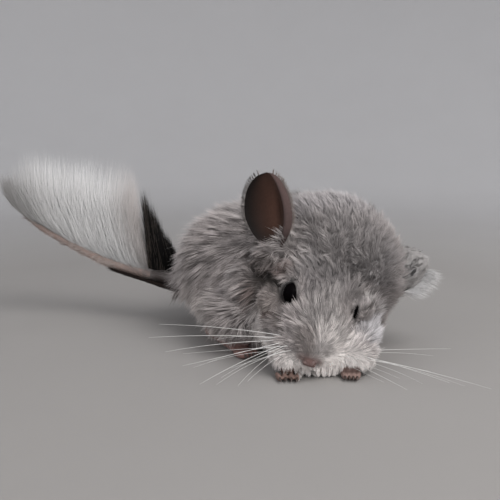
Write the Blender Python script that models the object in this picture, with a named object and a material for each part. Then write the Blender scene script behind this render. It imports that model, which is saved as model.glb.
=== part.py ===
# A young chinchilla crouching on its four feet, with its head lowered, turned and tilted, and its tail held
# out to its right behind it. The solids are the outline of the coat, out to the hair tips.
#
# Working frame, in millimetres: X runs to the viewer's right, Y away from the viewer and Z up, with the
# midpoint between the front feet at the origin. PLACE then moves the whole animal, so that the middle of
# its footprint is the model's origin. The head faces the viewer, so the animal's left side is on +X there.
import math

import bmesh
import bpy
import numpy as np
from mathutils import Matrix, Vector

MM = 0.001
PLACE = Vector((55.8, -51.0, 0.0)) * MM
GAP = 0.3
CORNER_SPARE = 1.5

# Head: its pivot lies midway between the ears. Angles are in degrees.
HEAD_PIVOT = (6.0, 32.0, 49.0)
HEAD_TURN = 17.0
HEAD_PITCH = 43.0
HEAD_TILT = 22.0
EYE_RADIUS = 5.0
EYE_PLACE = (26.0, 15.3, 2.8)

# Where the head and the neck end, in the head's axes: backwards, to each side and downwards
HEAD_BACK = -8.0
NECK_BACK = -22.0
HEAD_SIDE = 34.0
HEAD_UNDER = -30.0
REACH = 90.0

# Remeshing and triangle counts
BODY_VOXEL = 1.7
PAW_VOXEL = 0.7
BODY_TRIANGLES = 2600
LEG_TRIANGLES = 300
TAIL_TRIANGLES = 700

# Trunk, from tail root to chest: centre x, y, z, half width, half height
TRUNK = {
    "tail_root": (-70.0, 91.0, 26.0, 9.0, 10.0),
    "rump": (-62.0, 87.0, 31.0, 23.0, 24.0),
    "haunch": (-45.0, 79.0, 35.0, 36.0, 36.0),
    "loin": (-24.0, 69.0, 37.0, 42.0, 42.0),
    "back": (-4.0, 58.0, 38.5, 44.0, 43.5),
    "withers": (8.0, 44.0, 36.5, 41.0, 41.5),
    "shoulder": (9.0, 33.0, 28.0, 33.0, 30.0),
    "chest": (6.0, 22.0, 18.0, 24.0, 20.0),
}

# Fuller tufts of coat on the trunk: centre, then the three radii
TRUNK_MASSES = {
    "right_haunch": (-44.0, 66.0, 21.0, 20.0, 23.0, 23.0),
    "left_haunch": (-2.0, 90.0, 21.0, 24.0, 20.0, 24.0),
    "right_breast": (-20.0, 22.0, 18.0, 15.0, 15.0, 18.0),
    "left_breast": (20.0, 17.0, 17.0, 13.0, 15.0, 17.0),
    "bib": (2.0, 12.0, 11.0, 22.0, 11.0, 12.5),
}

# Head, from nape to nose in the head's own axes: along, centre height, half width, half height
HEAD = {
    "nape": (-20.0, -10.0, 19.0, 17.0),
    "occiput": (-9.0, -9.5, 26.0, 21.5),
    "ears": (3.0, -9.0, 29.0, 22.5),
    "temples": (15.0, -8.5, 28.5, 21.0),
    "eyes": (27.0, -7.5, 24.5, 18.0),
    "bridge": (37.0, -6.5, 19.0, 15.0),
    "muzzle": (46.0, -5.0, 14.0, 11.5),
    "nostrils": (53.0, -3.0, 9.5, 8.0),
    "nose_tip": (57.5, -1.5, 4.0, 4.0),
}

# Rounded masses on the head: centre along, out to the side, up, then the three radii
HEAD_MASSES = {
    "cheek": (20.0, 18.5, -12.0, 15.0, 12.5, 13.0),
    "whisker_pad": (45.0, 6.5, -7.0, 10.0, 9.0, 8.0),
    "brow": (21.0, 9.5, 5.5, 9.0, 6.0, 4.5),
    "jaw": (33.0, 8.0, -14.0, 17.0, 11.0, 10.0),
}

# Ears: root, tip, the way the hollow side looks, width, and how far the leaf is rolled
EARS = {
    "right": ((-20.5, 24.0, 50.0), (-24.0, 24.0, 89.5), (-0.45, -0.88, 0.1), 23.5, 1.0),
    "left": ((31.0, 27.0, 36.0), (55.5, 43.0, 45.0), (-0.5, 0.75, -0.4), 21.0, 0.8),
}
EAR_THICKNESS = 1.3
EAR_WIDEST = 0.42

# Tail with its brush, from root to tip: y, half thickness, then x and z of the lower and of the upper edge
TAIL = {
    "root": (88.0, 9.0, -58.0, 15.0, -60.0, 36.0),
    "dock": (92.0, 9.0, -75.0, 17.0, -76.0, 41.0),
    "tuft": (95.0, 10.0, -87.0, 20.0, -88.0, 60.0),
    "fan_start": (96.5, 12.0, -96.0, 22.5, -94.0, 87.0),
    "fan_low": (97.5, 13.0, -112.0, 27.5, -108.0, 92.5),
    "fan_middle": (98.0, 12.0, -133.0, 38.0, -130.0, 92.8),
    "fan_high": (97.5, 10.0, -151.0, 47.0, -150.0, 92.0),
    "fan_end": (97.0, 7.0, -163.0, 51.5, -163.0, 88.5),
    "tip": (97.0, 3.0, -168.0, 60.0, -168.0, 80.0),
}
TAIL_CUTS = (-99.0, -134.0)

# Forelegs, from chest to wrist: x, y, z, radius. Paws: centre and heading in degrees
FORELEGS = {
    "right": ((-12.0, 24.0, 15.0, 7.0), (-15.0, 15.0, 10.0, 6.0), (-16.0, 7.0, 5.5, 4.8), (-16.0, 1.0, 3.6, 4.2)),
    "left": ((14.0, 23.0, 15.0, 7.0), (15.0, 15.0, 10.0, 6.0), (14.0, 7.0, 5.5, 4.8), (13.0, 1.0, 3.6, 4.2)),
}
FORE_PAWS = {"right": (-16.0, -1.0, 3.0, 0.0), "left": (13.0, 0.0, 3.0, -6.0)}
FORE_PAW_RADII = (5.0, 5.5, 3.4)
FORE_TOE = (1.25, 3.2, 1.5)
FORE_SPREAD = (3.0, 14.0)

# Hind feet: heel and toe roots on the floor. Thighs: centre and radii
HIND_FEET = {"right": ((-54.0, 61.0), (-33.0, 27.0)), "left": ((-14.0, 96.0), (11.0, 64.0))}
HIND_FOOT_WIDTH = 11.0
HIND_FOOT_HEIGHT = 9.0
HIND_SOLE = ((0.0, 0.55, 1.0), (0.3, 0.8, 1.15), (0.65, 1.0, 0.8), (0.92, 0.9, 0.5))
HIND_TOE = (1.7, 5.0, 2.0)
HIND_SPREAD = (3.9, 9.0)
THIGHS = {"right": (-48.0, 60.0, 25.0, 27.0, 26.0, 25.0), "left": (0.0, 97.0, 25.0, 29.0, 24.0, 25.0)}

SIDES = {"right": -1.0, "left": 1.0}


def place(point):
    """A point of the working frame, in metres in the model's frame."""
    return Vector(point) * MM + PLACE


def head_axes():
    """The head's frame: X along the nose, Y to the animal's left, Z up through the crown."""
    turned = Matrix.Rotation(math.radians(-90.0 - HEAD_TURN), 4, "Z")
    pitched = Matrix.Rotation(math.radians(HEAD_PITCH), 4, "Y")
    tilted = Matrix.Rotation(math.radians(-HEAD_TILT), 4, "X")
    return Matrix.Translation(place(HEAD_PIVOT)) @ turned @ pitched @ tilted


def spot_in(axes, point):
    """The matrix moved to a point given in millimetres along its own axes."""
    return axes @ Matrix.Translation(Vector(point) * MM)


def clear_scene():
    for thing in list(bpy.data.objects):
        bpy.data.objects.remove(thing, do_unlink=True)


def paint(name, colour, roughness):
    """A plain Principled material in the part's colour."""
    material = bpy.data.materials.new(name)
    material.use_nodes = True
    shader = material.node_tree.nodes["Principled BSDF"]
    shader.inputs["Base Color"].default_value = (*colour, 1.0)
    shader.inputs["Roughness"].default_value = roughness
    shader.inputs["Metallic"].default_value = 0.0
    return material


def new_object(name, mesh):
    thing = bpy.data.objects.new(name, mesh)
    bpy.context.scene.collection.objects.link(thing)
    return thing


def mesh_from(name, build):
    """A mesh object filled in by build(bmesh), with its faces pointing out."""
    mesh = bpy.data.meshes.new(name)
    shape = bmesh.new()
    build(shape)
    bmesh.ops.recalc_face_normals(shape, faces=shape.faces)
    shape.to_mesh(mesh)
    shape.free()
    return new_object(name, mesh)


def smooth_rows(rows, per_span):
    """Catmull-Rom through the rows of numbers, so that places and sizes change smoothly."""
    rows = np.array(rows, float)
    padded = np.vstack([2 * rows[0] - rows[1], rows, 2 * rows[-1] - rows[-2]])
    found = []
    for i in range(len(rows) - 1):
        a, b, c, d = padded[i : i + 4]
        for t in np.linspace(0.0, 1.0, per_span, endpoint=False):
            bend = (c - a) * t + (2 * a - 5 * b + 4 * c - d) * t**2 + (3 * b - a - 3 * c + d) * t**3
            found.append(b + 0.5 * bend)
    return np.array(found + [rows[-1]])


def loft(name, centres, across, upward, sides):
    """A closed tube: each ring is an ellipse round its centre, with these two half axes as vectors."""

    def build(shape):
        rings = []
        for centre, side, up in zip(centres, across, upward):
            turns = [2 * math.pi * k / sides for k in range(sides)]
            spots = [Vector(centre) + math.cos(a) * Vector(side) + math.sin(a) * Vector(up) for a in turns]
            rings.append([shape.verts.new(spot) for spot in spots])
        for first, second in zip(rings, rings[1:]):
            for k in range(sides):
                n = (k + 1) % sides
                shape.faces.new((first[k], first[n], second[n], second[k]))
        shape.faces.new(rings[0])
        shape.faces.new(rings[-1])

    return mesh_from(name, build)


def tube(name, rows, sides):
    """A loft along rows of x, y, z, half width and half height, upright across its own path."""
    rows = smooth_rows(rows, 5)
    along = np.gradient(rows[:, :3], axis=0)
    along /= np.linalg.norm(along, axis=1)[:, None]
    side = np.cross(along, (0.0, 0.0, 1.0))
    side /= np.linalg.norm(side, axis=1)[:, None]
    up = np.cross(side, along)
    centres = [place(row[:3]) for row in rows]
    return loft(name, centres, side * rows[:, 3:4] * MM, up * rows[:, 4:5] * MM, sides)


def ball(name, axes, radii, rings):
    """An ellipsoid with its three radii along the matrix's axes."""
    stretch = axes @ Matrix.Diagonal((*[r * MM for r in radii], 1.0))

    def build(shape):
        bmesh.ops.create_uvsphere(shape, u_segments=2 * rings, v_segments=rings, radius=1.0)
        bmesh.ops.transform(shape, matrix=stretch, verts=shape.verts)

    return mesh_from(name, build)


def even_ball(axes, radii):
    """An ellipsoid of even small triangles, for cutting."""
    stretch = axes @ Matrix.Diagonal((*[r * MM for r in radii], 1.0))

    def build(shape):
        bmesh.ops.create_icosphere(shape, subdivisions=2, radius=1.0)
        bmesh.ops.transform(shape, matrix=stretch, verts=shape.verts)

    return mesh_from("cutter", build)


def block(axes, low, high):
    """A box between two corners, in millimetres along the matrix's axes."""
    middle = (Vector(low) + Vector(high)) / 2
    size = (Vector(high) - Vector(low)) * MM
    stretch = spot_in(axes, middle) @ Matrix.Diagonal((*size, 1.0))

    def build(shape):
        bmesh.ops.create_cube(shape, size=1.0)
        bmesh.ops.transform(shape, matrix=stretch, verts=shape.verts)

    return mesh_from("cutter", build)


def freeze(thing):
    """Applies the modifiers of an object."""
    graph = bpy.context.evaluated_depsgraph_get()
    mesh = bpy.data.meshes.new_from_object(thing.evaluated_get(graph))
    thing.modifiers.clear()
    thing.data = mesh
    return thing


def copy_of(thing, name):
    twin = thing.copy()
    twin.data = thing.data.copy()
    twin.name = name
    bpy.context.scene.collection.objects.link(twin)
    return twin


def remove(*things):
    for thing in things:
        bpy.data.objects.remove(thing, do_unlink=True)


def grown(thing):
    """A copy that stands proud by the gap all round, and a little more, as its corners would fall short."""
    twin = copy_of(thing, "cutter")
    swell = twin.modifiers.new("Swell", "DISPLACE")
    swell.strength = CORNER_SPARE * GAP * MM
    swell.mid_level = 0.0
    return freeze(twin)


def cut(thing, cutter, operation="DIFFERENCE"):
    """A Boolean with a cutter that is then thrown away."""
    modifier = thing.modifiers.new("Cut", "BOOLEAN")
    modifier.operation = operation
    modifier.solver = "EXACT"
    modifier.object = cutter
    freeze(thing)
    remove(cutter)
    return thing


def one_body(name, shapes, voxel, smoothing, triangles):
    """Melts overlapping shapes into one smooth closed body with about this many triangles."""
    mesh = bpy.data.meshes.new(name)
    whole = bmesh.new()
    for shape in shapes:
        whole.from_mesh(shape.data)
    whole.to_mesh(mesh)
    whole.free()
    remove(*shapes)
    body = new_object(name, mesh)
    melt = body.modifiers.new("Melt", "REMESH")
    melt.mode = "VOXEL"
    melt.voxel_size = voxel * MM
    relax = body.modifiers.new("Relax", "SMOOTH")
    relax.factor = 0.5
    relax.iterations = smoothing
    freeze(body)
    found = sum(len(p.vertices) - 2 for p in body.data.polygons)
    thin = body.modifiers.new("Thin", "DECIMATE")
    thin.ratio = min(1.0, triangles / found)
    return freeze(body)


def stand_flat(thing):
    """Cuts off what is under the floor, and closes the cut with a flat."""
    shape = bmesh.new()
    shape.from_mesh(thing.data)
    everything = shape.verts[:] + shape.edges[:] + shape.faces[:]
    floor = {"dist": 1e-6, "plane_co": (0, 0, 0), "plane_no": (0, 0, 1), "clear_inner": True}
    bmesh.ops.bisect_plane(shape, geom=everything, **floor)
    rim = [e for e in shape.edges if e.is_boundary]
    bmesh.ops.holes_fill(shape, edges=rim, sides=0)
    bmesh.ops.recalc_face_normals(shape, faces=shape.faces)
    shape.to_mesh(thing.data)
    shape.free()
    return thing


def largest_part(thing):
    """Drops the crumbs that a cut leaves, and keeps the biggest closed piece."""
    shape = bmesh.new()
    shape.from_mesh(thing.data)
    left = set(shape.verts)
    islands = []
    while left:
        edge = [left.pop()]
        island = set(edge)
        while edge:
            near = {e.other_vert(v) for v in edge for e in v.link_edges}
            edge = list(near & left)
            left.difference_update(edge)
            island.update(edge)
        islands.append(island)
    islands.sort(key=len)
    crumbs = [v for island in islands[:-1] for v in island]
    bmesh.ops.delete(shape, geom=crumbs, context="VERTS")
    shape.to_mesh(thing.data)
    shape.free()
    return thing


def block_of(thing, name, axes, low, high, operation="INTERSECT"):
    """What a copy of the object has inside a block, or with DIFFERENCE outside it."""
    piece = copy_of(thing, name)
    return largest_part(cut(piece, block(axes, low, high), operation))


def trunk_shapes():
    """The trunk with its coat: a loft from tail root to chest, and the fuller masses."""
    shapes = [tube("trunk_coat", list(TRUNK.values()), 36)]
    for name, (x, y, z, *radii) in TRUNK_MASSES.items():
        shapes.append(ball(name, Matrix.Translation(place((x, y, z))), radii, 16))
    return shapes


def head_shapes(axes):
    """The skull with its coat: a loft from nape to nose, and the rounded masses of both sides."""
    rows = smooth_rows(list(HEAD.values()), 4)
    turn = axes.to_3x3()
    centres = [spot_in(axes, (along, 0.0, height)).translation for along, height, _, _ in rows]
    across = [turn @ Vector((0.0, width * MM, 0.0)) for _, _, width, _ in rows]
    upward = [turn @ Vector((0.0, 0.0, tall * MM)) for _, _, _, tall in rows]
    shapes = [loft("skull", centres, across, upward, 28)]
    for name, (along, out, up, *radii) in HEAD_MASSES.items():
        for side, sign in SIDES.items():
            shapes.append(ball(f"{name}_{side}", spot_in(axes, (along, sign * out, up)), radii, 16))
    return shapes


def toes(turn, size, spread, ahead):
    """Four toes side by side, fanned out from the paw's axes: spread is their reach and angle."""
    width, length, height = size
    reach, angle = spread
    shapes = []
    for k in range(4):
        share = (k - 1.5) / 1.5
        toe = turn @ Matrix.Rotation(math.radians(-angle * share), 4, "Z")
        spot = spot_in(toe, (reach * share, -ahead + 0.6 * abs(share), height))
        shapes.append(ball(f"toe_{k}", spot, (width, length, height), 8))
    return shapes


def foreleg(side):
    """Forearm, paw and four toes, melted together."""
    rows = [(x, y, z, r, r) for x, y, z, r in FORELEGS[side]]
    x, y, z, heading = FORE_PAWS[side]
    turn = Matrix.Translation(place((x, y, 0.0))) @ Matrix.Rotation(math.radians(heading), 4, "Z")
    shapes = [tube("forearm", rows, 16), ball("palm", spot_in(turn, (0.0, 0.0, z)), FORE_PAW_RADII, 10)]
    shapes += toes(turn, FORE_TOE, FORE_SPREAD, FORE_PAW_RADII[1])
    return stand_flat(one_body(f"foreleg_{side}", shapes, PAW_VOXEL, 2, LEG_TRIANGLES))


def hind_foot(side):
    """The long flat sole of a crouching hind foot, its heel and four toes."""
    heel, front = (Vector((*p, 0.0)) for p in HIND_FEET[side])
    rows = []
    for share, wide, tall in HIND_SOLE:
        spot = heel.lerp(front, share)
        half_height = HIND_FOOT_HEIGHT / 2 * tall
        rows.append((spot.x, spot.y, 0.84 * half_height, HIND_FOOT_WIDTH / 2 * wide, half_height))
    heading = math.atan2(front.y - heel.y, front.x - heel.x) + math.pi / 2
    turn = Matrix.Translation(place(front)) @ Matrix.Rotation(heading, 4, "Z")
    shapes = [tube("sole", rows, 16)] + toes(turn, HIND_TOE, HIND_SPREAD, -1.0)
    return stand_flat(one_body(f"foot_hind_{side}", shapes, PAW_VOXEL, 2, LEG_TRIANGLES))


def tail():
    """The tail with its brush: flat tall rings between a lower and an upper edge."""
    rows = smooth_rows(list(TAIL.values()), 6)
    lower = np.stack([rows[:, 2], rows[:, 0], rows[:, 3]], axis=1)
    upper = np.stack([rows[:, 4], rows[:, 0], rows[:, 5]], axis=1)
    centres = [place(p) for p in (lower + upper) / 2]
    across = np.outer(rows[:, 1], (0.0, 1.0, 0.0)) * MM
    brush = loft("brush", centres, across, (upper - lower) / 2 * MM, 24)
    return one_body("tail", [brush], BODY_VOXEL, 4, TAIL_TRIANGLES)


def ear_profile(t):
    """The leaf's width at a share of its length: widest at EAR_WIDEST, half as wide at the root."""
    if t < EAR_WIDEST:
        return 1.0 - 0.53 * ((EAR_WIDEST - t) / EAR_WIDEST) ** 1.7
    beyond = (t - EAR_WIDEST) / (1.0 - EAR_WIDEST)
    return max(0.06, 1.0 - beyond**2) ** 0.75


def ear(side):
    """A thin leaf, rolled across its width so that both rims come forward round the hollow."""
    root, tip, hollow, width, roll = EARS[side]
    root, along = Vector(root), Vector(tip) - Vector(root)
    facing = Vector(hollow)
    facing = (facing - along * (facing.dot(along) / along.length_squared)).normalized()
    across = along.cross(facing).normalized()
    rows, columns = 11, 9

    def build(shape):
        grid = []
        for i in range(rows):
            t = i / (rows - 1)
            half = width / 2 * ear_profile(t)
            bend = roll * (1.2 - 0.5 * t)
            line = []
            for j in range(columns):
                turn = bend * (2.0 * j / (columns - 1) - 1.0)
                out = half * math.sin(turn) / math.sin(bend)
                forward = half * (1.0 - math.cos(turn)) / math.sin(bend)
                spot = root + along * t + across * out + facing * (forward - 3.0 * math.sin(math.pi * t))
                line.append(shape.verts.new(place(spot)))
            grid.append(line)
        for first, second in zip(grid, grid[1:]):
            for j in range(columns - 1):
                shape.faces.new((first[j], first[j + 1], second[j + 1], second[j]))

    leaf = mesh_from(f"ear_{side}", build)
    wall = leaf.modifiers.new("Wall", "SOLIDIFY")
    wall.thickness = EAR_THICKNESS * MM
    wall.offset = 0.0
    return freeze(leaf)


def finish(thing, name, material):
    thing.name = name
    thing.data.name = name
    thing.data.materials.clear()
    thing.data.materials.append(material)
    thing.data.shade_smooth()
    return thing


def part_trunk(body, axes, coat):
    """Divides the body into head, neck, trunk and the two thighs with thin cuts."""
    far = (REACH, HEAD_SIDE, REACH)
    head_low = (HEAD_BACK, -HEAD_SIDE, HEAD_UNDER)
    neck_low = (NECK_BACK, -HEAD_SIDE, HEAD_UNDER)
    neck_high = (HEAD_BACK - GAP, HEAD_SIDE, REACH)
    hole_low = (NECK_BACK - GAP, -HEAD_SIDE - GAP, HEAD_UNDER - GAP)
    hole_high = (REACH, HEAD_SIDE + GAP, REACH)
    finish(block_of(body, "head", axes, head_low, far), "head", coat)
    finish(block_of(body, "neck", axes, neck_low, neck_high), "neck", coat)
    trunk = block_of(body, "trunk", axes, hole_low, hole_high, "DIFFERENCE")
    for side, (x, y, z, *radii) in THIGHS.items():
        spot = Matrix.Translation(place((x, y, z)))
        thigh = copy_of(trunk, f"thigh_{side}")
        largest_part(cut(thigh, even_ball(spot, radii), "INTERSECT"))
        cut(trunk, even_ball(spot, [r + GAP for r in radii]))
        finish(thigh, f"thigh_{side}", coat)
    finish(largest_part(trunk), "trunk", coat)


def part_tail(brush, pale):
    """Divides the tail into base, middle and tip with upright cuts."""
    here = Matrix.Translation(PLACE)
    first, second = TAIL_CUTS
    far = 300.0
    spans = {
        "tail_base": (first, far),
        "tail_middle": (second, first - GAP),
        "tail_tip": (-far, second - GAP),
    }
    for name, (low, high) in spans.items():
        finish(block_of(brush, name, here, (low, -far, -far), (high, far, far)), name, pale)


def main():
    clear_scene()
    coat = paint("coat", (0.36, 0.35, 0.35), 0.95)
    pale = paint("pale_coat", (0.60, 0.59, 0.58), 0.95)
    ear_skin = paint("ear_skin", (0.10, 0.065, 0.055), 0.7)
    eye_black = paint("eye", (0.006, 0.006, 0.007), 0.08)
    paw_skin = paint("paw", (0.30, 0.22, 0.20), 0.8)
    axes = head_axes()

    body = one_body("body", trunk_shapes() + head_shapes(axes), BODY_VOXEL, 7, BODY_TRIANGLES)
    stand_flat(body)
    brush = cut(tail(), grown(body))
    for side in SIDES:
        leaf = cut(ear(side), grown(body))
        finish(largest_part(leaf), f"ear_{side}", ear_skin)

    for side, sign in SIDES.items():
        leg, foot = foreleg(side), hind_foot(side)
        cut(body, grown(leg))
        cut(body, grown(foot))
        finish(leg, leg.name, paw_skin)
        finish(foot, foot.name, paw_skin)
        along, out, up = EYE_PLACE
        spot = spot_in(axes, (along, sign * out, up))
        cut(body, ball("socket", spot, (EYE_RADIUS + GAP,) * 3, 8))
        finish(ball("eye", spot, (EYE_RADIUS,) * 3, 8), f"eye_{side}", eye_black)

    part_trunk(body, axes, coat)
    part_tail(brush, pale)
    remove(body, brush)


main()
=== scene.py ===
# A young chinchilla crouching with its head lowered: skin, eyes, whiskers, claws and coat, on a pale floor.
# Shapes are worked out in millimetres in a working frame: x to the viewer's right, y away from the viewer,
# z up, with the point midway between the front feet at the origin. toModel puts them in the model's frame.
import math

import bpy
import numpy as np
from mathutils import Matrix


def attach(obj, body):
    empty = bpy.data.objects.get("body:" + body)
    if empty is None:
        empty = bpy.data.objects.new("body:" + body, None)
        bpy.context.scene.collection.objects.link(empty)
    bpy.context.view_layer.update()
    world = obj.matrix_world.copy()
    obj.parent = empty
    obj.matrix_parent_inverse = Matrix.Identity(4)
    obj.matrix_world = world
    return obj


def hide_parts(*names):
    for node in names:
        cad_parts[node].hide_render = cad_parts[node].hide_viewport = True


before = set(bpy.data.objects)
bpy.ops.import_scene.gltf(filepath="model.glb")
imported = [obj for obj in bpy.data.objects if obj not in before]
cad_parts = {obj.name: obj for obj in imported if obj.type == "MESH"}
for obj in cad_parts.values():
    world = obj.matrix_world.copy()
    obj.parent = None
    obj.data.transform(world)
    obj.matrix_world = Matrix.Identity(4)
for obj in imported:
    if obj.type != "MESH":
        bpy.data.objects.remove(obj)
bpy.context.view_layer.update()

place = np.array([55.8, -51.0, 0.0])
millimetre = 0.001
random = np.random.default_rng(20)
up = np.array([0.0, 0.0, 1.0])
sides = {"right": -1.0, "left": 1.0}  # the animal's own sides, as the sign of the head's y


def toModel(points):
    # working millimetres to metres in the model's frame
    return (np.asarray(points, float) + place) * millimetre


def unit(vectors):
    return vectors / np.maximum(np.linalg.norm(vectors, axis=-1, keepdims=True), 1e-9)


def dot(a, b):
    return (a * b).sum(-1, keepdims=True)


def easeStep(low, high, x):
    # 0 below low, 1 above high, and 3t^2 - 2t^3 between them
    t = np.clip((x - low) / (high - low), 0.0, 1.0)
    return t * t * (3.0 - 2.0 * t)


def mixed(a, b, share):
    return a + (b - a) * share


def column(values):
    return values[:, None]


def turnAbout(axis, degrees):
    angle = math.radians(degrees)
    c, s = math.cos(angle), math.sin(angle)
    i, j = {"x": (1, 2), "y": (2, 0), "z": (0, 1)}[axis]
    matrix = np.eye(3)
    matrix[i, i] = matrix[j, j] = c
    matrix[j, i], matrix[i, j] = s, -s
    return matrix


# The head's own axes: x along the nose, y to the animal's left, z up through the crown
headPose = {"pivot": (6.0, 32.0, 49.0), "turn": 17.0, "pitch": 43.0, "tilt": 22.0}
headPivot = np.array(headPose["pivot"])
headAxes = turnAbout("z", -90.0 - headPose["turn"]) @ turnAbout("y", headPose["pitch"])
headAxes = headAxes @ turnAbout("x", -headPose["tilt"])


def fromHead(points):
    return np.asarray(points, float) @ headAxes.T + headPivot


def toHead(points):
    return (np.asarray(points, float) - headPivot) @ headAxes


# Noise on whole arrays of points

def scattered(cells, seed):
    # a number from 0 to 1 for each lattice cell: the fractional part of a large multiple of a sine
    mix = cells @ np.array([127.1, 311.7, 74.7]) + seed * 19.19
    return np.mod(np.sin(mix) * 43758.5453, 1.0)


def softNoise(points, size, seed):
    # value noise: the eight lattice corners round each point, blended by easing curves, from -1 to 1
    grid = points / size
    base = np.floor(grid)
    part = grid - base
    part = part * part * (3.0 - 2.0 * part)
    total = np.zeros(len(points))
    for corner in np.ndindex(2, 2, 2):
        weight = np.prod(np.where(corner, part, 1.0 - part), axis=1)
        total += weight * scattered(base + corner, seed)
    return total * 2.0 - 1.0


def wispCentres(points, size, seed):
    # the nearest of one jittered centre for each lattice cell, and that centre's own random number
    base = np.floor(points / size)
    nearest = np.full(len(points), 1e9)
    centres = np.zeros_like(points)
    number = np.zeros(len(points))
    for step in np.ndindex(3, 3, 3):
        cell = base + np.array(step) - 1.0
        jitter = np.stack([scattered(cell, seed + k) for k in range(3)], axis=1)
        centre = (cell + jitter) * size
        away = np.linalg.norm(points - centre, axis=1)
        closer = away < nearest
        nearest[closer] = away[closer]
        centres[closer] = centre[closer]
        number[closer] = scattered(cell, seed + 7)[closer]
    return centres, number


# Mesh making

def meshObject(name, points, faces, attributes=None, uv=None, normals=None):
    # faces is an array of corner numbers, three or four to a row; points are in working millimetres
    mesh = bpy.data.meshes.new(name)
    corners = np.ascontiguousarray(faces, np.int32)
    mesh.vertices.add(len(points))
    mesh.vertices.foreach_set("co", toModel(points).astype(np.float32).ravel())
    mesh.loops.add(corners.size)
    mesh.loops.foreach_set("vertex_index", corners.ravel())
    mesh.polygons.add(len(corners))
    mesh.polygons.foreach_set("loop_start", np.arange(0, corners.size, corners.shape[1], dtype=np.int32))
    mesh.update(calc_edges=True)
    mesh.shade_smooth()
    setAttributes(mesh, attributes or {})
    if uv is not None:
        layer = mesh.uv_layers.new(name="OFBake")
        layer.uv.foreach_set("vector", uv[corners.ravel()].astype(np.float32).ravel())
    if normals is not None:
        mesh.normals_split_custom_set_from_vertices(normals.astype(np.float32))
    thing = bpy.data.objects.new(name, mesh)
    bpy.context.scene.collection.objects.link(thing)
    return thing


def setAttributes(mesh, attributes):
    for name, values in attributes.items():
        if values.ndim == 1:
            mesh.attributes.new(name, "FLOAT", "POINT").data.foreach_set("value", values.astype(np.float32))
        else:
            full = np.ones((len(values), 4), np.float32)
            full[:, :3] = values
            mesh.attributes.new(name, "FLOAT_COLOR", "POINT").data.foreach_set("color", full.ravel())


def gridFaces(rows, columns, closed=False):
    # quads between neighbouring points of a grid; closed joins the last column to the first
    across = columns if closed else columns - 1
    i, j = np.meshgrid(np.arange(rows - 1), np.arange(across), indexing="ij")
    k = (j + 1) % columns
    quads = [i * columns + j, i * columns + k, (i + 1) * columns + k, (i + 1) * columns + j]
    return np.stack(quads, axis=-1).reshape(-1, 4)


def closedTube(rings):
    # rings of points that turn right-handed about the way to the last one; each end meets at a point
    rows, count = rings.shape[:2]
    points = np.vstack([rings.reshape(-1, 3), rings[0].mean(axis=0), rings[-1].mean(axis=0)])
    k = np.arange(count)
    n = (k + 1) % count
    far = (rows - 1) * count
    start = np.stack([np.full(count, len(points) - 2), n, k], axis=1)
    finish = np.stack([np.full(count, len(points) - 1), far + k, far + n], axis=1)
    quads = gridFaces(rows, count, closed=True)
    split = np.vstack([quads[:, [0, 1, 2]], quads[:, [0, 2, 3]]])
    return points, np.vstack([split, start, finish])


def ringTube(centres, across, upward, count=32):
    # rings of centre + across cos + upward sin
    angle = np.linspace(0.0, 2.0 * np.pi, count, endpoint=False)[None, :, None]
    ring = across[:, None, :] * np.cos(angle) + upward[:, None, :] * np.sin(angle)
    return closedTube(centres[:, None, :] + ring)


def smoothRows(rows, perSpan):
    # Catmull-Rom through the rows: b + ((c-a)t + (2a-5b+4c-d)t^2 + (3b-a-3c+d)t^3) / 2
    rows = np.array(rows, float)
    padded = np.vstack([2 * rows[0] - rows[1], rows, 2 * rows[-1] - rows[-2]])
    t = np.linspace(0.0, 1.0, perSpan, endpoint=False)[None, :, None]
    a, b, c, d = (padded[i : i + len(rows) - 1][:, None, :] for i in range(4))
    curve = b + 0.5 * ((c - a) * t + (2 * a - 5 * b + 4 * c - d) * t**2 + (3 * b - a - 3 * c + d) * t**3)
    return np.vstack([curve.reshape(-1, rows.shape[1]), rows[-1:]])


def limbTube(rows, count=24):
    # a tube along x, y, z, half width, half height, upright across its own path
    rows = smoothRows(rows, 6)
    along = unit(np.gradient(rows[:, :3], axis=0))
    side = unit(np.cross(up, along))
    return ringTube(rows[:, :3], side * rows[:, 3:4], np.cross(along, side) * rows[:, 4:5], count)


def ellipsoid(middle, radii, axes=np.eye(3), rings=20):
    # middle + axes (radii * (sin p cos q, sin p sin q, cos p)), from the lower pole up
    polar = np.linspace(np.pi - 0.06, 0.06, rings)
    across = np.sin(polar)[:, None] * axes[:, 0] * radii[0]
    upward = np.sin(polar)[:, None] * axes[:, 1] * radii[1]
    centres = np.asarray(middle) + np.cos(polar)[:, None] * axes[:, 2] * radii[2]
    return ringTube(centres, across, upward, 2 * rings)


def joined(shapes):
    # several (points, faces) as one
    counts = np.cumsum([0] + [len(points) for points, _ in shapes[:-1]])
    faces = np.vstack([f + n for (_, f), n in zip(shapes, counts)])
    return np.vstack([points for points, _ in shapes]), faces


def meshArrays(mesh):
    # points in working millimetres, and the triangles
    points = np.empty(len(mesh.vertices) * 3, np.float32)
    mesh.vertices.foreach_get("co", points)
    mesh.calc_loop_triangles()
    faces = np.empty(len(mesh.loop_triangles) * 3, np.int32)
    mesh.loop_triangles.foreach_get("vertices", faces)
    return points.reshape(-1, 3) / millimetre - place, faces.reshape(-1, 3)


def pointNormals(points, faces):
    # the sum of the normals of the triangles round each point, weighted by their areas
    a, b, c = (points[faces[:, k]] for k in range(3))
    cross = np.cross(b - a, c - a)
    total = np.zeros_like(points)
    for k in range(3):
        for axis in range(3):
            total[:, axis] += np.bincount(faces[:, k], cross[:, axis], len(points))
    return unit(total)


# Materials

def newMaterial(name, **values):
    # a Principled material with the values that are the same all over it
    material = bpy.data.materials.new(name)
    material.use_nodes = True
    shader = material.node_tree.nodes["Principled BSDF"]
    for socket, value in values.items():
        shader.inputs[socket.replace("_", " ")].default_value = value
    return material, material.node_tree, shader


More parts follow.
